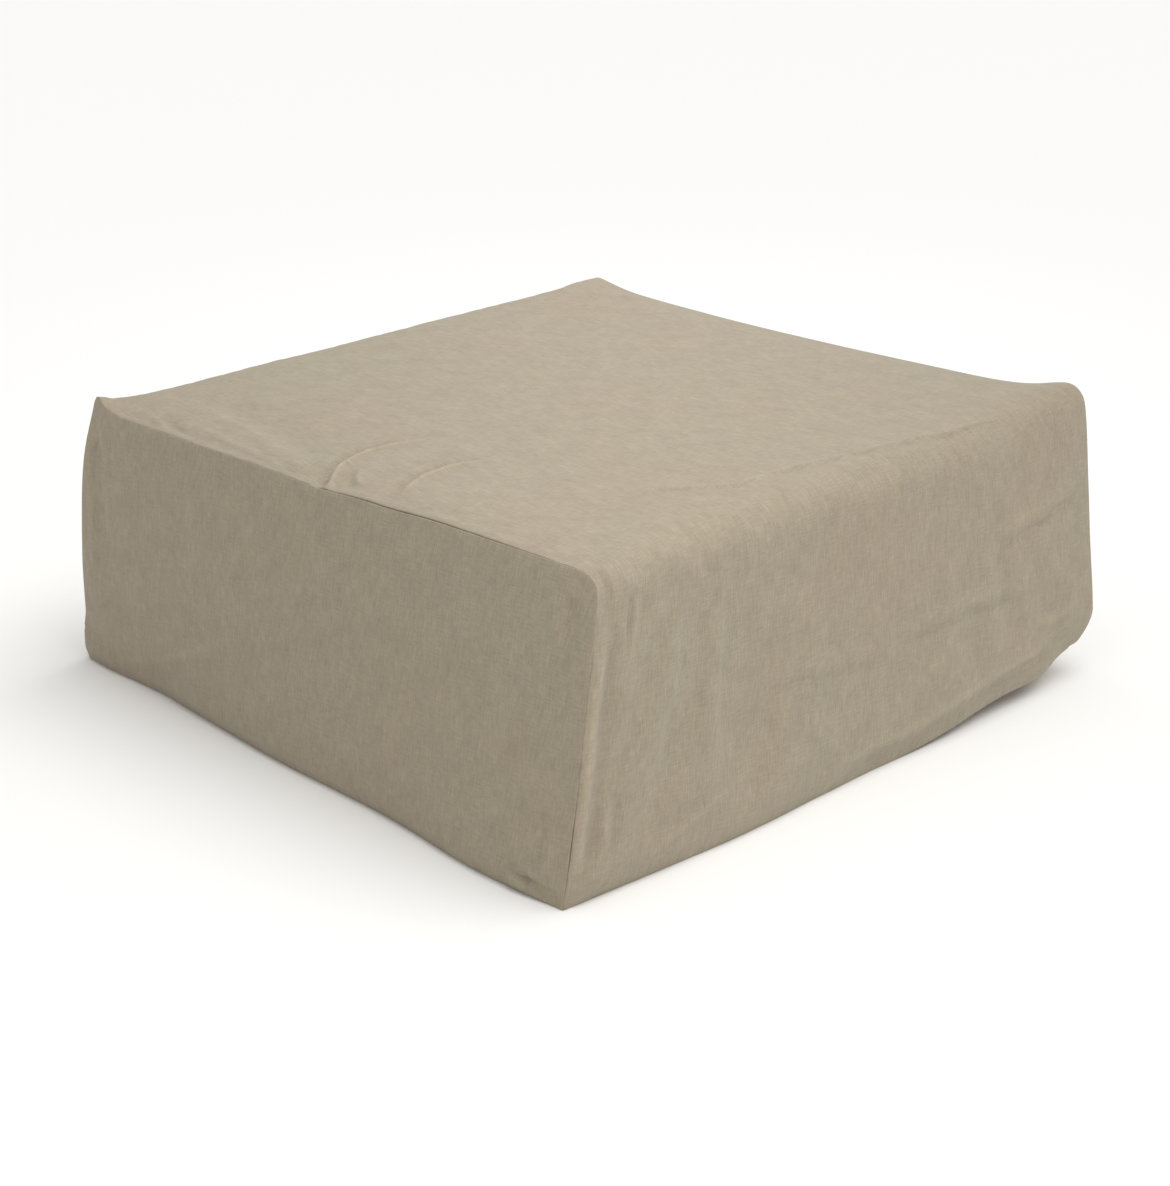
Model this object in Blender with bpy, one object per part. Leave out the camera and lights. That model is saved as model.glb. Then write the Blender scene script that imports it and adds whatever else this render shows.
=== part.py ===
"""Square floor cushion: a loose linen cover with a zip, over a foam core wrapped in fibre.

Metres, +Z up. The origin is the middle of the underside. -Y is the front, where one length of
cloth runs up the front face, over the seat and down the rear face. The side panels are at -X and
+X, and the zip runs along the foot of the rear face, at +Y.
"""

import math

import bmesh
import bpy
from mathutils import Matrix, Vector

# Driving dimensions
BASE_WIDTH = 0.900  # the cover at the floor, square
HEIGHT = 0.355
TOP_INSET = 0.027  # how far each side leans in by the time it reaches the top
STRAIGHT_FOOT = 0.070  # height up to which the sides stand upright
SOFT_EDGE = 0.035  # radius where the wrap panel turns over the front and rear top edges

CLOTH = 0.0012  # linen
LINER_CLOTH = 0.0008  # cotton inner case
FIBRE = 0.014  # polyester wrap
BASE_SLAB = 0.150  # firm foam
TOP_SLAB = 0.070  # soft foam; the middle slab fills what is left
COVER_EASE = 0.010  # slack between the cover and the inner case, each side
CORE_CORNER = 0.030  # the core's upright corners
CORE_EDGE = 0.022  # the core's top edge
GAP = 0.0003  # between pieces that touch
FLOOR_GAP = 0.0005  # between the floor and the cut edges that hang beside the base

ZIP_HEIGHT = 0.038  # middle of the chain above the floor
ZIP_OPENING = 0.016  # height of the slot between the two folded cloth edges
ZIP_DEPTH = 0.007  # how far the tape lies behind the rear face
ZIP_END = 0.030  # from the side panel to the end of the teeth
TAPE_WIDTH = 0.014
TAPE = 0.0006
COIL = 0.0022
CHAIN_SPLIT = 0.0014  # the track between the two rows that the slider's post runs in
STOP_LENGTH = 0.0025

SLIDER_LENGTH = 0.016
SLIDER_WIDTH = 0.012
SLIDER_PLATE = 0.0012
SLIDER_FLANGE = 0.0010
SLIDER_POST = 0.0008
SLIDER_PLAY = 0.0009  # between the rows' outer edges and the slider's flanges
BRIDGE_LENGTH = 0.008
BRIDGE_WIDTH = 0.0024
BRIDGE_BAR = 0.0010
PULL_LENGTH = 0.028
PULL_ARM = 0.0016
PULL = 0.0010
PULL_PLAY = 0.0004  # between the pull's arms and the bridge, each side
PULL_AIR = 0.0004  # between the pull and the slider's plate
PULL_WINDOW = 0.0075

LABEL_WIDTH = 0.035
LABEL_HEIGHT = 0.045
LABEL = 0.0005
LABEL_FROM_REAR = 0.110

ARC_STEPS = 8
SIDE_STEPS = 8

# Worked out from the values above
ZIP_LOW = ZIP_HEIGHT - ZIP_OPENING / 2
ZIP_HIGH = ZIP_HEIGHT + ZIP_OPENING / 2
REAR = BASE_WIDTH / 2
COIL_WIDTH = SLIDER_WIDTH / 2 - SLIDER_FLANGE - SLIDER_PLAY - CHAIN_SPLIT / 2  # a row fills its side of the slider


def half_width(z):
    """Half the cover's outer width at height z: upright at the foot, then leaning in."""
    rise = max(0.0, (z - STRAIGHT_FOOT) / (HEIGHT - STRAIGHT_FOOT))
    return BASE_WIDTH / 2 - TOP_INSET * rise * rise


def lean_angle(z):
    rise = max(0.0, (z - STRAIGHT_FOOT) / (HEIGHT - STRAIGHT_FOOT))
    return math.atan(2 * TOP_INSET * rise / (HEIGHT - STRAIGHT_FOOT))


def panel_half(z):
    """Half the wrap's and the base's width, which end just inside the side panels."""
    return half_width(z) - CLOTH - GAP


def half_profile(lowest):
    """Points (y, z) from the lowest height up one leaning side and round its soft top edge."""
    top = HEIGHT - SOFT_EDGE
    for _ in range(4):
        lean = lean_angle(top)
        top = HEIGHT - SOFT_EDGE + SOFT_EDGE * math.sin(lean)
    middle = half_width(top) - SOFT_EDGE * math.cos(lean)
    points = [(half_width(lowest), lowest)]
    if lowest < STRAIGHT_FOOT:
        points.append((half_width(STRAIGHT_FOOT), STRAIGHT_FOOT))
    for i in range(1, SIDE_STEPS):
        z = STRAIGHT_FOOT + (top - STRAIGHT_FOOT) * i / SIDE_STEPS
        points.append((half_width(z), z))
    for i in range(ARC_STEPS + 1):
        angle = lean + (math.pi / 2 - lean) * i / ARC_STEPS
        y = middle + SOFT_EDGE * math.cos(angle)
        points.append((y, HEIGHT - SOFT_EDGE + SOFT_EDGE * math.sin(angle)))
    return points


def offset_line(points, distance):
    """The open line moved to its left by the distance, with mitred corners."""
    moved = []
    for i, (a, b) in enumerate(points):
        normals = []
        for p, q in ((i - 1, i), (i, i + 1)):
            if p >= 0 and q < len(points):
                run = Vector(points[q]) - Vector(points[p])
                normals.append(Vector((-run.y, run.x)).normalized())
        mitre = sum(normals, Vector((0, 0))).normalized()
        moved.append(Vector((a, b)) + mitre * distance / mitre.dot(normals[0]))
    return [tuple(p) for p in moved]


def material(name, colour, roughness, metallic=0.0):
    made = bpy.data.materials.get(name)
    if made is None:
        made = bpy.data.materials.new(name)
        made.use_nodes = True
        shader = made.node_tree.nodes["Principled BSDF"]
        shader.inputs["Base Color"].default_value = (*colour, 1)
        shader.inputs["Roughness"].default_value = roughness
        shader.inputs["Metallic"].default_value = metallic
    return made


def linen():
    return material("washed_linen", (0.40, 0.34, 0.25), 0.9)


def liner_cotton():
    return material("liner_cotton", (0.78, 0.76, 0.70), 0.9)


def fibre_wadding():
    return material("fibre_wadding", (0.90, 0.90, 0.88), 0.95)


def foam(name, colour):
    return material(name, colour, 0.95)


def zip_tape():
    return material("zip_tape", (0.36, 0.31, 0.23), 0.85)


def zip_nylon():
    return material("zip_nylon", (0.34, 0.29, 0.21), 0.4)


def zip_metal():
    return material("zip_metal", (0.45, 0.42, 0.36), 0.35, 1.0)


def label_satin():
    return material("label_satin", (0.85, 0.84, 0.80), 0.5)


def add_object(name, mesh, finish, smooth_angle=None):
    bm = bmesh.new()
    bm.from_mesh(mesh)
    bmesh.ops.recalc_face_normals(bm, faces=bm.faces)
    bm.to_mesh(mesh)
    bm.free()
    if smooth_angle is not None:
        mesh.shade_smooth()
        mesh.set_sharp_from_angle(angle=math.radians(smooth_angle))
    thing = bpy.data.objects.new(name, mesh)
    thing.data.materials.append(finish)
    bpy.context.scene.collection.objects.link(thing)
    return thing


def loft(name, rings, finish, around=False, smooth_angle=40):
    """A solid through rings of equal count. Its ends are capped, or joined if it goes around."""
    count = len(rings[0])
    points = [p for ring in rings for p in ring]
    faces = []
    last = len(rings) if around else len(rings) - 1
    for i in range(last):
        low, high = i * count, ((i + 1) % len(rings)) * count
        for j in range(count):
            k = (j + 1) % count
            faces.append((low + j, low + k, high + k, high + j))
    if not around:
        faces.append(tuple(range(count)))
        faces.append(tuple(range(len(points) - count, len(points))))
    mesh = bpy.data.meshes.new(name)
    mesh.from_pydata(points, [], faces)
    return add_object(name, mesh, finish, smooth_angle)


def square_ring(half, corner, z):
    """A square of rounded corners at height z."""
    ring = []
    for quarter in range(4):
        turn = Matrix.Rotation(quarter * math.pi / 2, 2)
        for i in range(ARC_STEPS + 1):
            angle = math.pi / 2 * i / ARC_STEPS
            bend = Vector((math.cos(angle), math.sin(angle))) * corner
            p = turn @ (Vector((half - corner, half - corner)) + bend)
            ring.append((p.x, p.y, z))
    return ring


def box(name, low, high, finish, bevel=0.0):
    corners = [(x, y, z) for z in (low[2], high[2]) for x, y in
               ((low[0], low[1]), (high[0], low[1]), (high[0], high[1]), (low[0], high[1]))]
    thing = loft(name, [corners[:4], corners[4:]], finish, smooth_angle=30)
    if bevel:
        round_off = thing.modifiers.new("round_off", "BEVEL")
        round_off.width = bevel
        round_off.segments = 2
    return thing


def sheet(name, outline, half_at, finish):
    """Cloth that follows the line outline of (y, z), as wide each way as half_at(z) says."""
    inner = offset_line(outline, CLOTH)
    rings = []
    for (y, z), (inner_y, inner_z) in zip(outline, inner):
        rings.append([(-half_at(z), y, z), (half_at(z), y, z),
                      (half_at(inner_z), inner_y, inner_z), (-half_at(inner_z), inner_y, inner_z)])
    return loft(name, rings, finish)


# The cover

def add_wrap_panel():
    """Front face, seat and rear face in one length, with its rear end folded in to the zip."""
    front = [(-y, z) for y, z in half_profile(FLOOR_GAP)]
    rear = half_profile(ZIP_HIGH)[::-1]
    fold = [(REAR - ZIP_DEPTH + GAP, ZIP_HIGH)]
    sheet("wrap_panel", (front + rear + fold)[::-1], panel_half, linen())


def add_side_panel(name, side):
    rings = []
    for y, z in half_profile(FLOOR_GAP):
        outer, inner = half_width(z) * side, (half_width(z) - CLOTH) * side
        rings.append([(outer, -y, z), (outer, y, z), (inner, y, z), (inner, -y, z)])
    loft(name, rings, linen())


def add_base_panel():
    """The underside, turned up at the rear and folded in to the zip."""
    edge = BASE_WIDTH / 2 - CLOTH - GAP
    outline = [(-edge, 0), (REAR, 0), (REAR, ZIP_LOW), (REAR - ZIP_DEPTH + GAP, ZIP_LOW)]
    sheet("base_panel", outline, lambda z: edge, linen())


def add_care_label():
    """A blank satin label, inside the left side panel near the zip."""
    outer = -(BASE_WIDTH / 2 - CLOTH - 2 * GAP)
    rear = REAR - LABEL_FROM_REAR
    low = STRAIGHT_FOOT - LABEL_HEIGHT
    box("care_label", (outer, rear - LABEL_WIDTH, low),
        (outer + LABEL, rear, STRAIGHT_FOOT), label_satin())


# The zip

TAPE_FACE = REAR - ZIP_DEPTH
COIL_FACE = TAPE_FACE + GAP + COIL
TEETH_END = BASE_WIDTH / 2 - CLOTH - ZIP_END
PLATE_BACK = COIL_FACE + GAP
PLATE_FACE = PLATE_BACK + SLIDER_PLATE
PULL_AXIS_Y = PLATE_FACE + PULL_AIR + PULL / 2
SLIDER_X = TEETH_END - SLIDER_LENGTH / 2 - GAP


def add_zip_halves():
    tape_end = BASE_WIDTH / 2 - CLOTH - 2 * GAP
    for name, side in (("upper", 1), ("lower", -1)):
        near = ZIP_HEIGHT + side * CHAIN_SPLIT / 2
        coil_far = near + side * COIL_WIDTH
        tape_far = near + side * TAPE_WIDTH
        box("zip_tape_" + name, (-tape_end, TAPE_FACE - TAPE, min(near, tape_far)),
            (tape_end, TAPE_FACE, max(near, tape_far)), zip_tape())
        box("zip_coil_" + name, (-TEETH_END, TAPE_FACE + GAP, min(near, coil_far)),
            (TEETH_END, COIL_FACE, max(near, coil_far)), zip_nylon(), bevel=0.0006)


def add_zip_stop(name, side):
    reach = CHAIN_SPLIT / 2 + COIL_WIDTH
    near = TEETH_END + GAP
    ends = sorted((side * near, side * (near + STOP_LENGTH)))
    box(name, (ends[0], TAPE_FACE + GAP, ZIP_HEIGHT - reach),
        (ends[1], COIL_FACE, ZIP_HEIGHT + reach), zip_metal(), bevel=0.0004)


def add_zip_slider():
    """Two plates on a thin post, with side flanges that clear the tape, and a bridge on top."""
    wide, post = SLIDER_WIDTH / 2, SLIDER_POST / 2
    inner = wide - SLIDER_FLANGE
    tape_clear = TAPE_FACE + GAP
    back = TAPE_FACE - TAPE - GAP
    half_outline = [(PLATE_FACE, wide), (tape_clear, wide), (tape_clear, inner),
                    (PLATE_BACK, inner), (PLATE_BACK, post), (back, post), (back, wide),
                    (back - SLIDER_PLATE, wide)]
    outline = half_outline + [(y, -z) for y, z in half_outline[::-1]]
    ends = (SLIDER_X - SLIDER_LENGTH / 2, SLIDER_X + SLIDER_LENGTH / 2)
    rings = [[(x, y, ZIP_HEIGHT + z) for y, z in outline] for x in ends]
    slider = loft("zip_slider", rings, zip_metal(), smooth_angle=30)

    arch_low = PLATE_FACE - SLIDER_PLATE / 2
    arch_top = PLATE_FACE + 2 * PULL_AIR + PULL + BRIDGE_BAR
    outer, leg = BRIDGE_LENGTH / 2, BRIDGE_LENGTH / 2 - BRIDGE_BAR
    arch = [(-outer, arch_low), (-leg, arch_low), (-leg, arch_top - BRIDGE_BAR),
            (leg, arch_top - BRIDGE_BAR), (leg, arch_low), (outer, arch_low),
            (outer, arch_top), (-outer, arch_top)]
    rings = [[(SLIDER_X + x, y, ZIP_HEIGHT + z) for x, y in arch]
             for z in (-BRIDGE_WIDTH / 2, BRIDGE_WIDTH / 2)]
    bridge = loft("bridge_shape", rings, zip_metal(), smooth_angle=30)
    bridge.hide_render = True
    bridge.display_type = "WIRE"
    join = slider.modifiers.new("bridge", "BOOLEAN")
    join.operation = "UNION"
    join.solver = "EXACT"
    join.object = bridge


def add_pull_tab():
    """A flat tab, windowed so that its end bar passes under the bridge. It turns on that bar."""
    window_half = BRIDGE_WIDTH / 2 + PULL_PLAY
    wide = window_half + PULL_ARM
    pivot = Vector((SLIDER_X, PULL_AXIS_Y, ZIP_HEIGHT))
    bar = PULL / 2
    tab = box("zip_pull_tab", (bar - PULL_LENGTH, -bar, -wide), (bar, bar, wide), zip_metal())
    tab.location = pivot
    window = box("window_shape", (-bar - PULL_WINDOW, -PULL, -window_half),
                 (-bar, PULL, window_half), zip_metal())
    window.location = pivot
    window.hide_render = True
    window.display_type = "WIRE"
    cut = tab.modifiers.new("window", "BOOLEAN")
    cut.operation = "DIFFERENCE"
    cut.solver = "EXACT"
    cut.object = window


# The inner case, the fibre and the foam. The case's outer face keeps the cover's ease.

LINER_TOP = HEIGHT - CLOTH - GAP
FIBRE_TOP = LINER_TOP - LINER_CLOTH - GAP
FOAM_TOP = FIBRE_TOP - FIBRE - GAP
LINER_LOW = CLOTH + GAP
FOAM_LOW = LINER_LOW + LINER_CLOTH + GAP


def liner_half(z):
    return half_width(z) - CLOTH - COVER_EASE


def fibre_half(z):
    return liner_half(z) - LINER_CLOTH - GAP


def foam_half(z):
    return fibre_half(z) - FIBRE - GAP


def heights(low, high, steps=SIDE_STEPS):
    return [low + (high - low) * i / steps for i in range(steps + 1)]


def edge_pull_in(z, top, radius):
    """How far an edge of that radius has come in from the side, at a height z near the top."""
    up = max(0.0, z - (top - radius))
    return radius - math.sqrt(max(0.0, radius * radius - up * up))


def add_band(name, low, high, outer_at, thickness, finish):
    """A wall round all four sides, open above and below."""
    levels = heights(low, high)
    outside = [square_ring(outer_at(z), CORE_CORNER, z) for z in levels]
    inside = [square_ring(outer_at(z) - thickness, CORE_CORNER - thickness, z) for z in levels]
    loft(name, outside + inside[::-1], finish, around=True)


def add_slab(name, low, high, half_at, corner, finish, edge=0.0):
    """A block between two heights, whose top edge may be rounded."""
    levels = heights(low, high - edge)
    if edge:
        levels += [high - edge + edge * math.sin(math.pi / 2 * i / ARC_STEPS)
                   for i in range(1, ARC_STEPS + 1)]
    rings = []
    for z in levels:
        inset = edge_pull_in(z, high, edge) if edge else 0.0
        rings.append(square_ring(half_at(z) - inset, corner, z))
    loft(name, rings, finish)


def add_inner_case():
    add_slab("liner_base", LINER_LOW, LINER_LOW + LINER_CLOTH, liner_half, CORE_CORNER,
             liner_cotton())
    band_top = LINER_TOP - LINER_CLOTH - GAP - CORE_EDGE
    add_band("liner_band", FOAM_LOW, band_top, liner_half, LINER_CLOTH, liner_cotton())
    shoulders = []
    for i in range(ARC_STEPS + 1):
        angle = math.pi / 2 * i / ARC_STEPS
        z = band_top + GAP + (LINER_TOP - band_top - GAP) * math.sin(angle)
        inset = CORE_EDGE * (1 - math.cos(angle))
        shoulders.append((z, inset))
    outside = [square_ring(liner_half(z) - inset, CORE_CORNER, z) for z, inset in shoulders]
    inside = [square_ring(liner_half(z) - inset - LINER_CLOTH, CORE_CORNER - LINER_CLOTH,
                          z - LINER_CLOTH * i / ARC_STEPS)
              for i, (z, inset) in enumerate(shoulders)]
    loft("liner_top", inside[::-1] + outside, liner_cotton())


def add_fibre():
    add_slab("fibre_top_sheet", FOAM_TOP + GAP, FIBRE_TOP,
             lambda z: fibre_half(z) - CORE_EDGE, CORE_CORNER, fibre_wadding(), edge=FIBRE / 2)
    add_band("fibre_side_band", FOAM_LOW, FOAM_TOP - CORE_EDGE, fibre_half, FIBRE,
             fibre_wadding())


def add_foam():
    corner = CORE_CORNER - FIBRE
    base_top = FOAM_LOW + BASE_SLAB
    top_low = FOAM_TOP - TOP_SLAB
    add_slab("foam_base_slab", FOAM_LOW, base_top, foam_half, corner,
             foam("firm_foam", (0.80, 0.72, 0.48)))
    add_slab("foam_middle_slab", base_top + GAP, top_low - GAP, foam_half, corner,
             foam("medium_foam", (0.86, 0.82, 0.66)))
    add_slab("foam_top_slab", top_low, FOAM_TOP, foam_half, corner,
             foam("soft_foam", (0.88, 0.88, 0.84)), edge=CORE_EDGE)


def main():
    for thing in list(bpy.data.objects):
        bpy.data.objects.remove(thing)
    add_wrap_panel()
    add_side_panel("left_side_panel", -1)
    add_side_panel("right_side_panel", 1)
    add_base_panel()
    add_care_label()
    add_zip_halves()
    add_zip_stop("zip_stop_closed_end", 1)
    add_zip_stop("zip_stop_open_end", -1)
    add_zip_slider()
    add_pull_tab()
    add_inner_case()
    add_fibre()
    add_foam()


main()
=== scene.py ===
import math

import bmesh
import bpy
import numpy as np
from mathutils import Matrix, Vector
from mathutils.bvhtree import BVHTree


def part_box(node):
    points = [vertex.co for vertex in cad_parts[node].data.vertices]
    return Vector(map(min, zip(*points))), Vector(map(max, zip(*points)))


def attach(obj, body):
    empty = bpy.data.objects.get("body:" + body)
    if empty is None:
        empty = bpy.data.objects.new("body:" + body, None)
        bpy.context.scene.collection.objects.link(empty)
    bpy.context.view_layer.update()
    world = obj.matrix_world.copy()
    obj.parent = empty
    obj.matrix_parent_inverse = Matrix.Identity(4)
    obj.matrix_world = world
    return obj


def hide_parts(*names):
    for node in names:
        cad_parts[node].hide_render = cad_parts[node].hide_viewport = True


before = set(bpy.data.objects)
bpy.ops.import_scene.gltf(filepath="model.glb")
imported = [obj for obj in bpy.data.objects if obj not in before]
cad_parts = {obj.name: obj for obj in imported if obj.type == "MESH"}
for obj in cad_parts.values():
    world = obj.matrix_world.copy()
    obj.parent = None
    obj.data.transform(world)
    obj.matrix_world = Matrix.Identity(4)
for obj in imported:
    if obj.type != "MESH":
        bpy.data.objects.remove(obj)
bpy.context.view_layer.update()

scene = bpy.context.scene
scene.view_settings.view_transform = "Standard"


def hexLinear(code):
    # sRGB hex to the linear colour that the shaders take
    parts = [int(code[i:i + 2], 16) / 255 for i in (1, 3, 5)]
    return [p / 12.92 if p <= 0.04045 else ((p + 0.055) / 1.055) ** 2.4 for p in parts] + [1.0]


def addNode(tree, kind, links=(), values=(), **settings):
    # one node, with its settings, plain values and incoming links
    node = tree.nodes.new(kind)
    for name, value in settings.items():
        setattr(node, name, value)
    for socket, value in dict(values).items():
        node.inputs[socket].default_value = value
    for socket, source in dict(links).items():
        tree.links.new(source, node.inputs[socket])
    return node


def smoothStep(low, high, x):
    t = np.clip((np.asarray(x, float) - low) / (high - low), 0, 1)
    return t * t * (3 - 2 * t)


def bump(x, centre, width):
    return np.exp(-((np.asarray(x, float) - centre) / width) ** 2)


def placed(name, data):
    # an object in the scene, at the origin
    thing = bpy.data.objects.new(name, data)
    scene.collection.objects.link(thing)
    return thing


# Camera, floor and lights

camera = {
    "azimuth": -43.0,  # degrees, 0 looks along +Y
    "elevation": 20.0,
    "distance": 2.923,
    "orbitHeight": 0.1775,
    "aimHeight": 0.0983,
    "focalLength": 71.6,
}
studio = {
    "floorColour": "#F6F5F3",
    "floorHalf": 24.0,
    "skyStrength": 0.53,
    "keyFrom": (0.20, -0.34, 1.0),
    "keySpread": 55.0,  # degrees across, so shadows stay soft
    "keyStrength": 1.8,
    "bankSize": (0.3, 3.2),  # a long softbox over the cushion, in line with the camera
    "bankPlace": (0.073, -0.068, 1.0),
    "bankPower": 4.4,
}


def makeCamera():
    turn, rise = math.radians(camera["azimuth"]), math.radians(camera["elevation"])
    back = Vector((math.sin(turn) * math.cos(rise), -math.cos(turn) * math.cos(rise), math.sin(rise)))
    data = bpy.data.cameras.new("studioCamera")
    data.lens, data.sensor_width = camera["focalLength"], 36
    data.clip_start, data.clip_end = 0.05, 100
    eye = placed("studioCamera", data)
    eye.location = Vector((0, 0, camera["orbitHeight"])) + back * camera["distance"]
    look = Vector((0, 0, camera["aimHeight"])) - eye.location
    eye.rotation_euler = look.to_track_quat("-Z", "Y").to_euler()
    scene.camera = eye


def makeStudio():
    world = bpy.data.worlds.new("softStudio")
    world.use_nodes = True
    tree = world.node_tree
    sky = tree.nodes["Background"]
    sky.inputs["Color"].default_value = (1, 1, 1, 1)
    seen = addNode(tree, "ShaderNodeLightPath")  # the backdrop itself is white, and lights less than it shows
    level = addNode(tree, "ShaderNodeMapRange", {"Value": seen.outputs["Is Camera Ray"]},
                    {"To Min": studio["skyStrength"], "To Max": 1.0})
    tree.links.new(level.outputs["Result"], sky.inputs["Strength"])
    scene.world = world

    half = studio["floorHalf"]
    mesh = bpy.data.meshes.new("studioFloor")
    corners = [(-half, -half, 0), (half, -half, 0), (half, half, 0), (-half, half, 0)]
    mesh.from_pydata(corners, [], [(0, 1, 2, 3)])
    floor = placed("studioFloor", mesh)
    paint = bpy.data.materials.new("matt white studio floor")
    paint.use_nodes = True
    shader = paint.node_tree.nodes["Principled BSDF"]
    shader.inputs["Base Color"].default_value = hexLinear(studio["floorColour"])
    shader.inputs["Roughness"].default_value = 0.9
    mesh.materials.append(paint)

    light = bpy.data.lights.new("softKey", "SUN")
    light.energy, light.angle = studio["keyStrength"], math.radians(studio["keySpread"])
    lamp = placed("softKey", light)
    lamp.rotation_euler = (-Vector(studio["keyFrom"])).to_track_quat("-Z", "Y").to_euler()

    light = bpy.data.lights.new("overheadBank", "AREA")
    light.shape, light.energy = "RECTANGLE", studio["bankPower"]
    light.size, light.size_y = studio["bankSize"]
    lamp = placed("overheadBank", light)
    lamp.location = studio["bankPlace"]
    lamp.rotation_euler = (0, 0, math.radians(camera["azimuth"]))
    lamp.visible_camera = False


makeCamera()
makeStudio()
print("studio ready")


# Sizes that the solids give

coverHigh = np.maximum(*[np.array(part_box(n)[1]) for n in ("right_side_panel", "wrap_panel")])
halfBase = float(coverHigh[0])
coverHeight = float(coverHigh[2])
zipLow = float(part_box("base_panel")[1][2])
zipMiddle = float((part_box("zip_coil_upper")[1][2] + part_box("zip_coil_lower")[0][2]) / 2)
zipHigh = 2 * zipMiddle - zipLow


# How the whole cushion has settled: a twist from floor to top, and a few soft pushes

settling = {
    "sideInset": 0.027,
    "straightFoot": 0.070,
    "twist": 3.4,  # degrees at the top, none at the floor
    "rearTwistLoss": 2.0,  # degrees less at the rear right top corner
    "leftSag": (0.0035, 0.0015, 0.004, 0.002),  # left top edge: from the front, rear, middle, front end
    "innerSag": 0.0045,  # a broad hollow inside that edge
    "rightSag": (0.001, 0.005),  # all along, and more in the middle
    "rearSag": (0.0045, 0.0035),  # at the left, and how much less at the right
    "tuck": 0.003,  # how far the foot goes under
    "frontFootLift": 0.020,
    "footCorner": (0.130, 0.078, 0.35),  # front right: along, up, and the share of it that goes inwards
    # corners: which one, push in x and y, lift, reach, and the height where it is most and its spread
    "corners": (
        (-1, 1, 0.006, -0.004, 0.009, 0.036, 1.0, 0.14),
        (-1, 1, 0.000, 0.000, 0.008, 0.017, 1.0, 0.10),
        (-1, 1, 0.002, -0.006, 0.0, 0.120, 0.45, 0.30),
        (1, -1, 0.009, -0.002, 0.010, 0.070, 1.0, 0.22),
        (1, 1, 0.004, 0.004, 0.010, 0.060, 1.0, 0.20),
        (1, -1, -0.005, 0.002, 0.0, 0.120, 0.50, 0.22),
        (1, -1, 0.010, -0.003, -0.004, 0.035, 0.0, 0.12),
    ),
    # the foot spreads or draws in: side (0 for x, 1 for y), its sign, middle, half length, how far out
    "foot": (
        (0, -1, -0.320, 0.100, 0.010),
        (0, -1, 0.030, 0.100, 0.004),
        (0, -1, 0.330, 0.120, -0.007),
        (1, -1, -0.210, 0.170, 0.010),
        (1, -1, 0.160, 0.070, 0.004),
    ),
}


def halfWidth(z):
    straight = settling["straightFoot"]
    rise = np.maximum(0.0, (np.asarray(z, float) - straight) / (coverHeight - straight))
    return halfBase - settling["sideInset"] * rise ** 2


def roundOff(p, q):
    # how far a point moves as a square corner becomes round: p and q are 0 at the start, 1 at the corner
    p, q = np.clip(p, 0, 1), np.clip(q, 0, 1)
    shrink = 1 - np.maximum(p, q) / np.maximum(np.hypot(p, q), 1e-9)
    return p * shrink, q * shrink


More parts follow.
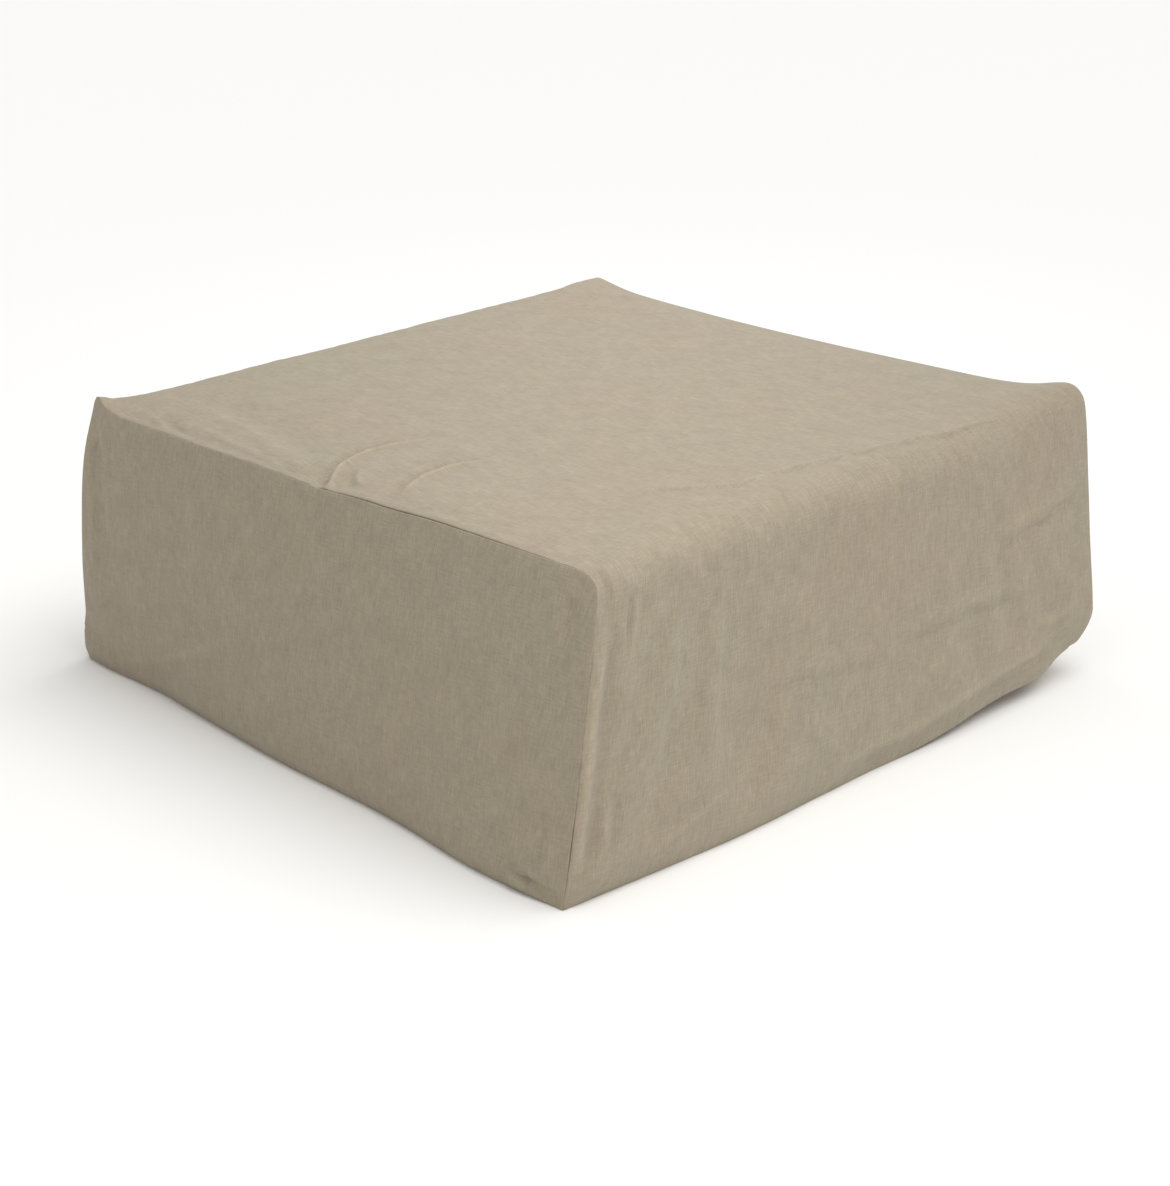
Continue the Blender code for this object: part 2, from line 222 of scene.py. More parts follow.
def settle(points):
    # moves nominal points (n, 3) to where the used cushion has them
    p = np.array(points, float)
    x, y, z = p[:, 0].copy(), p[:, 1].copy(), p[:, 2].copy()
    rise = z / coverHeight
    topEdge = halfWidth(coverHeight)
    high = smoothStep(0.5, 1.0, rise)

    # the top sinks along its edges, least where the cloth rolls over the left one
    along, rear, middle, front = settling["leftSag"]
    drop = along * smoothStep(-0.20, -0.10, y) + rear * smoothStep(-0.02, 0.10, y)
    drop = drop + middle * bump(y, 0.005, 0.055) + front * smoothStep(-0.39, -0.42, y)
    p[:, 2] -= drop * bump(x, -topEdge, 0.042) * high
    p[:, 2] -= settling["innerSag"] * bump(x, -topEdge + 0.075, 0.055) * bump(y, 0.20, 0.19) * high
    least, more = settling["rightSag"]
    drop = least + more * bump(y, 0.0, 0.33)
    p[:, 2] -= drop * bump(x, topEdge, 0.045) * high * smoothStep(-0.42, -0.36, y)
    most, less = settling["rearSag"]
    drop = most - less * smoothStep(0.12, 0.32, x)
    p[:, 2] -= drop * bump(y, topEdge, 0.045) * high * smoothStep(-0.42, -0.34, x)

    # the foot tucks under, so that its seam lies on the floor
    tuck = settling["tuck"] * smoothStep(0.018, 0.0, z)
    p[:, 0] -= np.sign(x) * tuck * smoothStep(0.40, 0.45, np.abs(x))
    p[:, 1] -= np.sign(y) * tuck * smoothStep(0.40, 0.45, np.abs(y))

    # corners that stand up, reach out or draw in; the zip at the foot of the rear stays straight
    width = halfWidth(z)
    free = 1 - smoothStep(0.25, 0.43, y) * smoothStep(0.13, 0.055, z)
    for signX, signY, moveX, moveY, lift, reach, at, spread in settling["corners"]:
        near = np.hypot(x - signX * width, y - signY * width)
        share = bump(near, 0.0, reach) * bump(rise, at, spread) * free
        p[:, 0] += moveX * share
        p[:, 1] += moveY * share
        p[:, 2] += lift * share

    # the front right corner at the floor is rounded off and lifted
    along, upward, inward = settling["footCorner"]
    fromSide, fromFront = 1 - (halfBase - x) / along, 1 - (halfBase + y) / along
    fromFloor = 1 - z / upward
    moveX, _ = roundOff(fromSide, fromFloor)
    moveY, _ = roundOff(fromFront, fromFloor)
    _, moveZ = roundOff(np.minimum(fromSide, fromFront), fromFloor)
    p[:, 0] -= along * moveX * smoothStep(0, 1, fromFront)
    p[:, 1] += along * inward * moveY * smoothStep(0, 1, fromSide)
    p[:, 2] += upward * moveZ
    footRise = smoothStep(0.05, 0.30, x) * smoothStep(-0.25, -0.44, y) * smoothStep(0.14, 0.0, z)
    p[:, 2] += settling["frontFootLift"] * footRise

    low = smoothStep(0.13, 0.0, z)
    for axis, sign, middle, reach, out in settling["foot"]:
        side, alongFoot = (x, y) if axis == 0 else (y, x)
        atEdge = smoothStep(0.38, 0.45, sign * side)
        p[:, axis] += sign * out * bump(alongFoot, middle, reach) * atEdge * low * free

    turn = free * np.radians(rise * (settling["twist"] - settling["rearTwistLoss"]
                                     * smoothStep(0.0, topEdge, x) * smoothStep(0.0, topEdge, y)))
    c, s = np.cos(turn), np.sin(turn)
    p[:, 0], p[:, 1] = p[:, 0] * c - p[:, 1] * s, p[:, 0] * s + p[:, 1] * c
    return p


# Cloth built on grids of points: rows by columns by xyz

def noise(u, v, cellU, cellV, seed):
    # smooth random waves from -1 to 1, with cells of that size in metres
    angle = np.random.RandomState(seed).uniform(0, 2 * np.pi, (128, 128))
    a, b = u / cellU + 500, v / cellV + 500
    i, j = np.floor(a).astype(int), np.floor(b).astype(int)
    fu, fv = a - i, b - j
    blendU = fu ** 3 * (fu * (fu * 6 - 15) + 10)
    blendV = fv ** 3 * (fv * (fv * 6 - 15) + 10)
    total = 0
    for di in (0, 1):
        for dj in (0, 1):
            lean = angle[(i + di) % 128, (j + dj) % 128]
            share = (blendU if di else 1 - blendU) * (blendV if dj else 1 - blendV)
            total = total + share * (np.cos(lean) * (fu - di) + np.sin(lean) * (fv - dj))
    return total * 1.5


def gridNormals(grid):
    along, across = np.gradient(grid, axis=0), np.gradient(grid, axis=1)
    n = np.cross(across, along)
    return n / np.maximum(np.linalg.norm(n, axis=2, keepdims=True), 1e-12)


def pathDistance(u, v, path):
    # signed distance to a polyline in cloth coordinates, and how far along it, 0 to 1
    path = np.array(path, float)
    steps = np.linalg.norm(np.diff(path, axis=0), axis=1)
    total, done = steps.sum(), 0.0
    best, side, place = np.full(u.shape, 9.0), np.zeros(u.shape), np.zeros(u.shape)
    for (ua, va), (ub, vb), step in zip(path[:-1], path[1:], steps):
        du, dv = (ub - ua) / step, (vb - va) / step
        t = np.clip((u - ua) * du + (v - va) * dv, 0, step)
        offU, offV = u - ua - t * du, v - va - t * dv
        d = np.hypot(offU, offV)
        closer = d < best
        best = np.where(closer, d, best)
        side = np.where(closer, np.sign(du * offV - dv * offU), side)
        place = np.where(closer, (done + t) / total, place)
        done += step
    return best * side, place


def creaseHeight(u, v, crease):
    # a pressed ridge with a shallow dip beside it, fading at both ends, and its painted light: a painted highlight
    # along the crest and painted shade in the dip
    path, height, width, dip, dipAt, tail = crease
    distance, place = pathDistance(u, v, path)
    fade = smoothStep(0.0, 0.18, place) * smoothStep(1.0, 1 - tail, place)
    crest, trough = bump(distance, 0, width), dip * bump(distance, dipAt * width, 1.5 * width)
    # painted light: a painted highlight on the crest, and painted shade in the dip beside it
    creaseLightShade = (bump(distance, 0, 0.55 * width) - 0.6 * trough) * fade * height / 0.004
    return fade * height * (crest - trough), creaseLightShade


def spacedLine(low, high, edge, cell, fine=()):
    # steps of about one cell, closer together in the fine stretches, and one longer step at each seam
    line = np.linspace(low + edge, high - edge, 3000)
    size = np.full(3000, float(cell))
    for start, end, share, soft in fine:
        size *= 1 - (1 - share) * smoothStep(start - soft, start, line) * smoothStep(end + soft, end, line)
    reach = np.concatenate([[0], np.cumsum(np.diff(line) / size[1:])])
    count = int(round(reach[-1] / 3)) * 3 + 1
    spots = np.interp(np.linspace(0, reach[-1], count), reach, line)
    return np.concatenate([[low], spots, [high]]) if edge else spots


def resample(line, spots):
    # points at those shares of a polyline's length
    steps = np.linalg.norm(np.diff(line, axis=0), axis=1)
    reach = np.concatenate([[0], np.cumsum(steps)])
    return np.stack([np.interp(spots * reach[-1], reach, line[:, k]) for k in range(line.shape[1])], 1)


cloth = {
    "cell": 0.0042,  # spacing of the points across the cloth
    "edgeCell": 0.010,
    "frontEdgeRadius": 0.056,
    "rearEdgeRadius": 0.024,
    "cornerRadius": 0.024,
    "earRadius": 0.011,  # rear left, where the corner stands up in a point
    "thickness": 0.0006,
    "foldRadius": 0.0009,
    "allowance": 0.009,
    "coarse": 3,  # the inner face has every third point
    # rows of the wrap panel up the front, over the top and down the rear, and its columns, in cells
    "spacing": {"front": 1.08, "top": 1.25, "rear": 1.6, "across": 1.14},
    # where they lie closer: start, end, share of the usual step, and how softly it changes
    "fineColumns": ((-1, -0.55, 0.55, 0.1),),
    "fineRows": ((0, 0.17, 0.66, 0.08), (0.38, 0.555, 0.42, 0.05)),
}


def halfSection(radius, top, width, low):
    # half of the cushion's outline, (out, up), from the foot to the middle of the rounded edge and on
    heights = np.linspace(low, top - radius, 60)
    side = np.stack([width(heights), heights], 1)
    start, corner, end = side[-1], np.array([width(top), top]), np.array([width(top) - radius, top])
    lean = corner - start
    t = np.linspace(0, 1, 41)[1:, None]
    a, b = start + lean * 0.62, end + (corner - end) * 0.62
    arc = (1 - t) ** 3 * start + 3 * (1 - t) ** 2 * t * a + 3 * (1 - t) * t ** 2 * b + t ** 3 * end
    middle = 60 + 19
    return np.concatenate([side, arc]), middle


def wrapRows(radiusFront, radiusRear, spotsFront, spotsTop, spotsRear, top, width, low, rearLow):
    # one line of the wrap panel, (y, z), from the front foot over the top to the rear
    front, middleFront = halfSection(radiusFront, top, width, low)
    rear, middleRear = halfSection(radiusRear, top, width, rearLow)
    up = resample(front[:middleFront + 1], spotsFront)
    over = np.concatenate([front[middleFront:] * (-1, 1), (rear[middleRear:])[::-1]])
    down = resample(rear[:middleRear + 1][::-1], spotsRear)
    return np.concatenate([up * (-1, 1), resample(over, spotsTop)[1:], down[1:]])


def wrapGrid(top, width, low, rearLow, radii, cell, edge):
    # the whole wrap panel: rows run front foot to rear foot, columns from -X to +X
    frontRadius, rearRadius, cornerRadius = radii
    reach = width(top)
    spacing = cloth["spacing"]
    upCount = int(round((top - low) / cell / spacing["front"]))
    downCount = int(round((top - rearLow) / cell / spacing["rear"]))
    across = spacedLine(-1, 1, edge / reach, cell * spacing["across"] / reach, cloth["fineColumns"])
    spotsFront = np.concatenate([[0], np.linspace(edge / top, 1, upCount)])
    spotsTop = spacedLine(0, 1, 0, cell * spacing["top"] / reach / 1.9, cloth["fineRows"])
    while (upCount + len(spotsTop) + downCount) % 3:
        downCount += 1
    spotsRear = np.concatenate([np.linspace(0, 1 - edge / top, downCount), [1]])
    columns = []
    for t in across:
        soft = 1 - smoothStep(0.62, 1.0, abs(t))
        rearCorner = cloth["earRadius"] if t < 0 else cornerRadius
        line = wrapRows(cornerRadius + (frontRadius - cornerRadius) * soft,
                        rearCorner + (rearRadius - rearCorner) * soft,
                        spotsFront, spotsTop, spotsRear, top, width, low, rearLow)
        columns.append(np.column_stack([t * width(line[:, 1]), line]))
    grid = np.stack(columns, 1)
    steps = np.linalg.norm(np.diff(grid[:, grid.shape[1] // 2], axis=0), axis=1)
    along = np.concatenate([[0], np.cumsum(steps)]) - steps[:upCount].sum()
    u = np.repeat((across * reach)[None], grid.shape[0], 0)
    v = np.repeat(along[:, None], grid.shape[1], 1)
    return grid, u, v


def sideGrid(side, top, width, low, radii, cell, edge):
    # a side panel: rows run up, and columns from left to right as seen from outside
    (front, middle), (rear, _) = [halfSection(radius, top, width, low) for radius in radii]
    spots = spacedLine(0, 1, edge / top, cell / top)
    frontUp, rearUp = resample(front[:middle + 1], spots) * (-1, 1), resample(rear[:middle + 1], spots)
    across = spacedLine(-1, 1, edge / width(top), cell / width(top))
    weight = ((across + 1) / 2)[:, None]
    topLine = resample(np.concatenate([front[middle:] * (-1, 1), rear[middle:][::-1]]), (across + 1) / 2)
    short = topLine - frontUp[-1] - (rearUp[-1] - frontUp[-1]) * weight
    lift = (frontUp[:, 1] - low) / (frontUp[-1, 1] - low)
    rows = []
    for a, b, share in zip(frontUp, rearUp, lift):
        line = a + (b - a) * weight + short * share ** 3
        rows.append(np.column_stack([side * width(line[:, 1]), line]))
    grid = np.stack(rows, 0)
    if side < 0:
        grid = grid[:, ::-1]
    return grid, grid[..., 1].copy(), grid[..., 2].copy()


def baseGrid(reach, upTo, cell, edge):
    # the underside, and its turned-up strip at the rear; rows from the rear strip to the front
    line = [(reach, upTo), (reach, upTo * 0.6), (reach, 0.008)]
    line += [(reach - 0.0025, 0.0025), (reach - 0.008, 0.0)]
    backCount = int(round(2 * reach / cell / 3)) * 3
    flat = np.linspace(reach - 0.008, -reach + edge, backCount)[1:]
    line = np.array(line + [(y, 0.0) for y in flat] + [(-reach, 0.0)])
    while len(line) % 3:
        line = np.delete(line, 8, axis=0)
    across = spacedLine(-1, 1, edge / reach, cell / reach) * reach
    grid = np.stack([np.column_stack([np.full(len(line), x), line]) for x in across], 1)
    steps = np.linalg.norm(np.diff(line, axis=0), axis=1)
    v = np.repeat(np.concatenate([[0], np.cumsum(steps)])[:, None], len(across), 1)
    return grid, grid[..., 0].copy(), v


def loopOf(rows, columns):
    # indices round a grid's border, and each one's place as side number plus share
    top = [(0, j, j / (columns - 1)) for j in range(columns - 1)]
    right = [(i, columns - 1, 1 + i / (rows - 1)) for i in range(rows - 1)]
    bottom = [(rows - 1, j, 2 + 1 - j / (columns - 1)) for j in range(columns - 1, 0, -1)]
    left = [(i, 0, 3 + 1 - i / (rows - 1)) for i in range(rows - 1, 0, -1)]
    return top + right + bottom + left


def bridge(outer, inner):
    # triangles between two loops of (index, place), which start at the same corner
    faces, i, j = [], 0, 0
    countOuter, countInner = len(outer), len(inner)
    while i < countOuter or j < countInner:
        nextOuter = outer[i + 1][1] if i + 1 < countOuter else 4.0
        nextInner = inner[j + 1][1] if j + 1 < countInner else 4.0
        a, b = outer[i % countOuter][0], inner[j % countInner][0]
        if j >= countInner or (i < countOuter and nextOuter <= nextInner):
            faces.append((a, outer[(i + 1) % countOuter][0], b))
            i += 1
        else:
            faces.append((a, inner[(j + 1) % countInner][0], b))
            j += 1
    return faces


def seamFold(points):
    # the radius of the turned edge, and how far the seam opens: most where the top rolls over the left side
    x, y, z = points.T
    roll = smoothStep(0.30, 0.33, z) * smoothStep(-0.36, -0.40, x) * bump(y, -0.17, 0.19)
    foot = smoothStep(0.22, 0.06, z) * smoothStep(-0.38, -0.42, y) * smoothStep(0.01, 0.03, z)
    opening = 0.66 + 0.13 * roll + 0.14 * foot
    return (cloth["foldRadius"] * (1 + 0.45 * roll + 0.4 * foot))[:, None], opening[:, None]


def clothPiece(name, grid, u, v, material, creaseLightShade=None):
    # a closed piece of cloth: outer face, borders turned in to the seams, and a coarser inner face
    thickness = cloth["thickness"]
    rows, columns = grid.shape[:2]
    normals = gridNormals(grid)
    for i, j in ((0, 0), (0, -1), (-1, 0), (-1, -1)):
        normals[i, j] = normals[1 if i == 0 else -2, 1 if j == 0 else -2]
    loop = loopOf(rows, columns)
    ii, jj = np.array([p[0] for p in loop]), np.array([p[1] for p in loop])
    normal = normals[ii, jj]
    outward = np.zeros((len(loop), 3))
    corner = ((ii == 0) | (ii == rows - 1)) & ((jj == 0) | (jj == columns - 1))
    for on, di, dj in ((ii == 0, 1, 0), (ii == rows - 1, -1, 0), (jj == 0, 0, 1), (jj == columns - 1, 0, -1)):
        step = grid[ii[on], jj[on]] - grid[ii[on] + di, jj[on] + dj]
        outward[on] += step / np.linalg.norm(step, axis=1, keepdims=True)
    outward -= normal * (outward * normal).sum(1, keepdims=True)
    length = np.linalg.norm(outward, axis=1, keepdims=True)
    mitre = np.where(corner[:, None], np.clip(2 / np.maximum(length, 0.5), 1, 1.42), 1.0)
    allowance = cloth["allowance"] * np.where(corner[:, None], 0.25, 1.0)  # trimmed off at the corners
    outward /= length

    border = grid[ii, jj]
    fold, openness = seamFold(border)
    setBack = fold / math.tan(math.pi / 8) * openness
    tangentPoint = border - outward * setBack * mitre
    centre = tangentPoint - normal * fold
    outerGrid = grid.copy()
    outerGrid[ii, jj] = tangentPoint
    inward = -(normal + outward) / math.sqrt(2)
    turns = np.radians([34, 68, 101, 135])
    rings = [centre + fold * (normal * math.cos(a) + outward * math.sin(a)) for a in turns]
    rings.append(rings[-1] + inward * allowance)
    small = fold - thickness
    innerRings = [centre + small * (normal * math.cos(a) + outward * math.sin(a)) for a in turns]
    innerRings.append(innerRings[-1] + inward * allowance)
    innerRings = innerRings[::-1] + [tangentPoint - normal * thickness]

    step = cloth["coarse"]
    keepRows = np.arange(1, rows - 1, step)
    keepColumns = np.arange(1, columns - 1, step)
    assert keepRows[-1] == rows - 2 and keepColumns[-1] == columns - 2, (name, rows, columns)
    inner = (grid - normals * thickness)[np.ix_(keepRows, keepColumns)]

    points = [outerGrid.reshape(-1, 3)] + rings + innerRings + [inner.reshape(-1, 3)]
    ringCount = len(rings) + len(innerRings)

    def flatPlace(values):
        # one flat coordinate of every point, in the points' order
        middle = [values[ii, jj]] * ringCount
        return np.concatenate([values.ravel()] + middle + [values[np.ix_(keepRows, keepColumns)].ravel()])

    index = np.arange(rows * columns).reshape(rows, columns)
    quads = np.stack([index[:-1, :-1], index[:-1, 1:], index[1:, 1:], index[1:, :-1]], -1).reshape(-1, 4)
    faces = quads.tolist()
    loopIds = index[ii, jj]
    start = rows * columns
    previous = loopIds
    for _ in range(ringCount):
        current = np.arange(start, start + len(loop))
        faces += np.stack([previous, current, np.roll(current, -1), np.roll(previous, -1)], 1).tolist()
        previous, start = current, start + len(loop)
    innerIndex = start + np.arange(len(keepRows) * len(keepColumns)).reshape(len(keepRows), len(keepColumns))
    quads = np.stack([innerIndex[:-1, :-1], innerIndex[1:, :-1], innerIndex[1:, 1:], innerIndex[:-1, 1:]], -1)
    faces += quads.reshape(-1, 4).tolist()
    innerLoop = [(innerIndex[a, b], place) for a, b, place in loopOf(len(keepRows), len(keepColumns))]
    outerLoop = [(previous[k], loop[k][2]) for k in range(len(loop))]
    faces += [tuple(f[::-1]) for f in bridge(outerLoop, innerLoop)]
    piece = meshPiece(name, np.concatenate(points), faces, material, flatPlace(u), flatPlace(v))
    if creaseLightShade is not None:
        # the painted crease highlight and shade at each point, read by the linen's colour
        layer = piece.data.attributes.new("creasePaintedLight", "FLOAT", "POINT")
        values = np.zeros(len(piece.data.vertices), np.float32)
        values[:rows * columns] = creaseLightShade.ravel()
        layer.data.foreach_set("value", values)
    return piece


def meshPiece(name, points, faces, material, u=None, v=None):
    mesh = bpy.data.meshes.new(name)
    mesh.from_pydata(np.asarray(points).tolist(), [], [tuple(int(k) for k in f) for f in faces])
    mesh.validate()
    mesh.polygons.foreach_set("use_smooth", [True] * len(mesh.polygons))
    if u is not None:
        ids = np.zeros(len(mesh.loops), int)
        mesh.loops.foreach_get("vertex_index", ids)
        layer = mesh.uv_layers.new(name="clothMap")
        layer.uv.foreach_set("vector", np.stack([u[ids], v[ids]], 1).astype(np.float32).ravel())
    mesh.materials.append(material)
    return placed(name, mesh)


def declare(piece, body, node):
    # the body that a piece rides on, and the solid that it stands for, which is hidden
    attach(piece, body)
    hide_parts(node)


# The core: foam in fibre in a cotton case, all in the cover's own twist

core = {
    "ease": 0.0095,  # between the cover and the case
    "topEase": 0.0062,
    "caseCloth": 0.0008,
    "fibre": 0.014,
    "gap": 0.0004,
    "slabLevels": (0.1535, 0.270),
    "corner": 0.045,
    "edge": 0.046,
}


def squareLoop(half, corner, z, count=96):
    # a square with rounded corners, as a closed line of points
    spots = (np.arange(count) + 0.5) / count * 2 * np.pi
    c, s = np.cos(spots), np.sin(spots)
    reach = 1 / np.maximum(np.abs(c), np.abs(s))
    x, y = half * reach * c, half * reach * s
    flat = half - corner
    overX, overY = np.maximum(np.abs(x) - flat, 0), np.maximum(np.abs(y) - flat, 0)
    both = (overX > 0) & (overY > 0)
    shrink = np.where(both, np.maximum(overX, overY) / np.maximum(np.hypot(overX, overY), 1e-9), 1)
    x = np.where(both, np.sign(x) * (flat + overX * shrink), x)
    y = np.where(both, np.sign(y) * (flat + overY * shrink), y)
    return np.column_stack([x, y, np.full(count, z)])


def loftLoops(name, loops, material, closed):
    # skins a run of loops; closed runs back to the first loop, and an open run is capped to points
    count = len(loops[0])
    points = settle(np.concatenate(loops))
    faces = []
    runs = len(loops) if closed else len(loops) - 1
    for k in range(runs):
        a, b = k * count, (k + 1) % len(loops) * count
        faces += [(a + i, a + (i + 1) % count, b + (i + 1) % count, b + i) for i in range(count)]
    if not closed:
        ends = settle([loops[0].mean(0), loops[-1].mean(0)])
        low, high, last = len(points), len(points) + 1, (len(loops) - 1) * count
        points = np.concatenate([points, ends])
        faces += [(low, (i + 1) % count, i) for i in range(count)]
        faces += [(high, last + i, last + (i + 1) % count) for i in range(count)]
    return meshPiece(name, points, faces, material)


def layerHalf(z, inset):
    return float(halfWidth(z)) - inset


def edgeLoops(inset, topZ, edge, corner, levels):
    # loops up the side at those heights, then over a rounded top edge to the middle
    loops = [squareLoop(layerHalf(z, inset), corner, z) for z in levels]
    turn = np.linspace(0, np.pi / 2, 8)[1:]
    reach = layerHalf(topZ - edge, inset)
    loops += [squareLoop(reach - edge * (1 - math.cos(a)), corner, topZ - edge + edge * math.sin(a))
              for a in turn]
    return loops, reach - edge


def fillLoops(half, corner, z, inwards, steps=12):
    shares = np.linspace(1, 0.04, steps)
    shares = shares[1:] if inwards else shares[::-1][:-1]
    return [squareLoop(half * s, max(0.001, corner * s), z) for s in shares]


# The drape: a cover a little too large, let down over the core, so that its swells are the cloth's own

drape = {
    "cells": (64, 64, 25),
    "slack": 0.008,
    "frames": 26,
    "coreEase": 0.0040,
    "topEase": 0.0018,
    "mostMove": 0.0045,
    "heldBelow": 0.008,  # the foot is sewn down to here
    "block": {"thickness_outer": 0.001, "cloth_friction": 12},
    "cloth": {"quality": 7, "mass": 0.25, "tension_stiffness": 28, "compression_stiffness": 28,
              "shear_stiffness": 8, "bending_stiffness": 1.2},
}


def drapeLattice():
    # the cover as one welded skin, open at the foot: points, quads and how high up each point is
    nx, ny, nz = drape["cells"]
    ids, points, quads = {}, [], []

    def point(i, j, k):
        if (i, j, k) not in ids:
            ids[(i, j, k)] = len(points)
            z = k / nz * coverHeight
            width = float(halfWidth(z))
            x, y = (2 * i / nx - 1), (2 * j / ny - 1)
            radius = cloth["frontEdgeRadius"] if y < 0 else cloth["rearEdgeRadius"]
            soft = 1 - float(smoothStep(0.62, 1, abs(x)))
            radius = cloth["cornerRadius"] + (radius - cloth["cornerRadius"]) * soft
            out, up = abs(y) * width - (width - radius), z - (coverHeight - radius)
            if out > 0 and up > 0:
                shrink = max(out, up) / math.hypot(out, up)
                out, up = out * shrink, up * shrink
                y = math.copysign(width - radius + out, y) / width
                z = coverHeight - radius + up
            points.append((x * float(halfWidth(z)), y * width, z))
        return ids[(i, j, k)]

    for i in range(nx):
        for j in range(ny):
            quads.append([point(i, j, nz), point(i + 1, j, nz), point(i + 1, j + 1, nz), point(i, j + 1, nz)])
    for k in range(nz):
        for i in range(nx):
            quads.append([point(i, 0, k), point(i + 1, 0, k), point(i + 1, 0, k + 1), point(i, 0, k + 1)])
            quads.append([point(i + 1, ny, k), point(i, ny, k), point(i, ny, k + 1), point(i + 1, ny, k + 1)])
        for j in range(ny):
            quads.append([point(0, j + 1, k), point(0, j, k), point(0, j, k + 1), point(0, j + 1, k + 1)])
            quads.append([point(nx, j, k), point(nx, j + 1, k), point(nx, j + 1, k + 1), point(nx, j, k + 1)])
    return np.array(points), quads


def drapeMove():
    # runs the cloth, and gives the skin at rest with how far each of its points moved
    points, quads = drapeLattice()
    mesh = bpy.data.meshes.new("drapeSkin")
    mesh.from_pydata(points.tolist(), [], quads)
    skin = placed("drapeSkin", mesh)
    held = skin.vertex_groups.new(name="held")
    below = drape["heldBelow"]
    low = [k for k, p in enumerate(points) if p[2] < below or (p[1] > 0.44 and p[2] < zipHigh + below)]
    held.add(low, 1.0, "REPLACE")

    inset, topZ = drape["coreEase"], coverHeight - drape["topEase"]
    side, reach = edgeLoops(inset, topZ, 0.034, 0.014, np.linspace(-0.02, topZ - 0.034, 14))
    loops = side + fillLoops(reach, 0.002, topZ, True, 20)
    count = len(loops[0])
    faces = [(k * count + i, k * count + (i + 1) % count, (k + 1) * count + (i + 1) % count,
              (k + 1) * count + i) for k in range(len(loops) - 1) for i in range(count)]
    blockMesh = bpy.data.meshes.new("drapeBlock")
    blockMesh.from_pydata(np.concatenate(loops).tolist(), [], faces)
    block = placed("drapeBlock", blockMesh)
    block.modifiers.new("touch", "COLLISION")
    for setting, value in drape["block"].items():
        setattr(block.collision, setting, value)

    cover = skin.modifiers.new("cover", "CLOTH")
    for setting, value in drape["cloth"].items():
        setattr(cover.settings, setting, value)
    cover.settings.shrink_min = -drape["slack"]
    cover.settings.vertex_group_mass = "held"
    cover.collision_settings.distance_min = 0.0015
    cover.point_cache.frame_start, cover.point_cache.frame_end = 1, drape["frames"]
    for f in range(1, drape["frames"] + 1):
        scene.frame_set(f)
    moved = skin.evaluated_get(bpy.context.evaluated_depsgraph_get()).to_mesh()
    after = np.zeros(len(moved.vertices) * 3)
    moved.vertices.foreach_get("co", after)
    move = after.reshape(-1, 3) - points
    scene.frame_set(1)
    for thing in (skin, block):
        bpy.data.objects.remove(thing, do_unlink=True)
    far = np.linalg.norm(move, axis=1, keepdims=True)
    move *= np.minimum(1, drape["mostMove"] / np.maximum(far, 1e-9))
    average, most = round(float(far.mean()) * 1000, 2), round(float(far.max()) * 1000, 2)
    print("drape moved", average, "mm on average,", most, "at most, before the cap")
    return points, quads, move


drapeData = drapeMove()


def draped(grid):
    # the drape's move at each point of a panel, smoothed over the coarser skin's facets
    if drapeData is None:
        return grid
    points, quads, move = drapeData
    tree = BVHTree.FromPolygons([tuple(p) for p in points], quads)
    flat = grid.reshape(-1, 3)
    found = np.zeros_like(flat)
    for k, p in enumerate(flat):
        at, _, face, _ = tree.find_nearest(tuple(p))
        corners = quads[face]
        weight = np.array([1 / (1e-6 + (points[c][0] - at.x) ** 2 + (points[c][1] - at.y) ** 2
                                + (points[c][2] - at.z) ** 2) for c in corners])
        found[k] = (move[corners] * weight[:, None]).sum(0) / weight.sum()
    calm = 1 - 0.65 * smoothStep(0.20, 0.36, grid[..., 0]) * smoothStep(-0.34, -0.40, grid[..., 1])
    found = found.reshape(grid.shape) * calm[..., None]
    for _ in range(6):
        inner = found.copy()
        inner[1:-1] = (found[:-2] + 2 * found[1:-1] + found[2:]) / 4
        found = inner.copy()
        found[:, 1:-1] = (inner[:, :-2] + 2 * inner[:, 1:-1] + inner[:, 2:]) / 4
    return grid + found


# Washed linen: a matt plain weave in undyed flax, with slubs, a dry heather and a faint bloom

linenLook = {
    "light": "#A69C87",
    "deep": "#908571",
    "warm": "#A1917B",
    # how far the painted crease highlight and shade lighten and darken the colour
    "paintedCreaseLight": 0.19,
    # bands: cells per metre across and along, how much the tone varies, and detail
    "heather": (((110, 24, 1), 0.042, 4.0), ((620, 55, 1), 0.095, 3.0), ((60, 520, 1), 0.065, 3.0)),
    "thread": 0.00095,  # one thread and its gap; real linen of this weight has 0.7 mm, drawn a little coarser
}


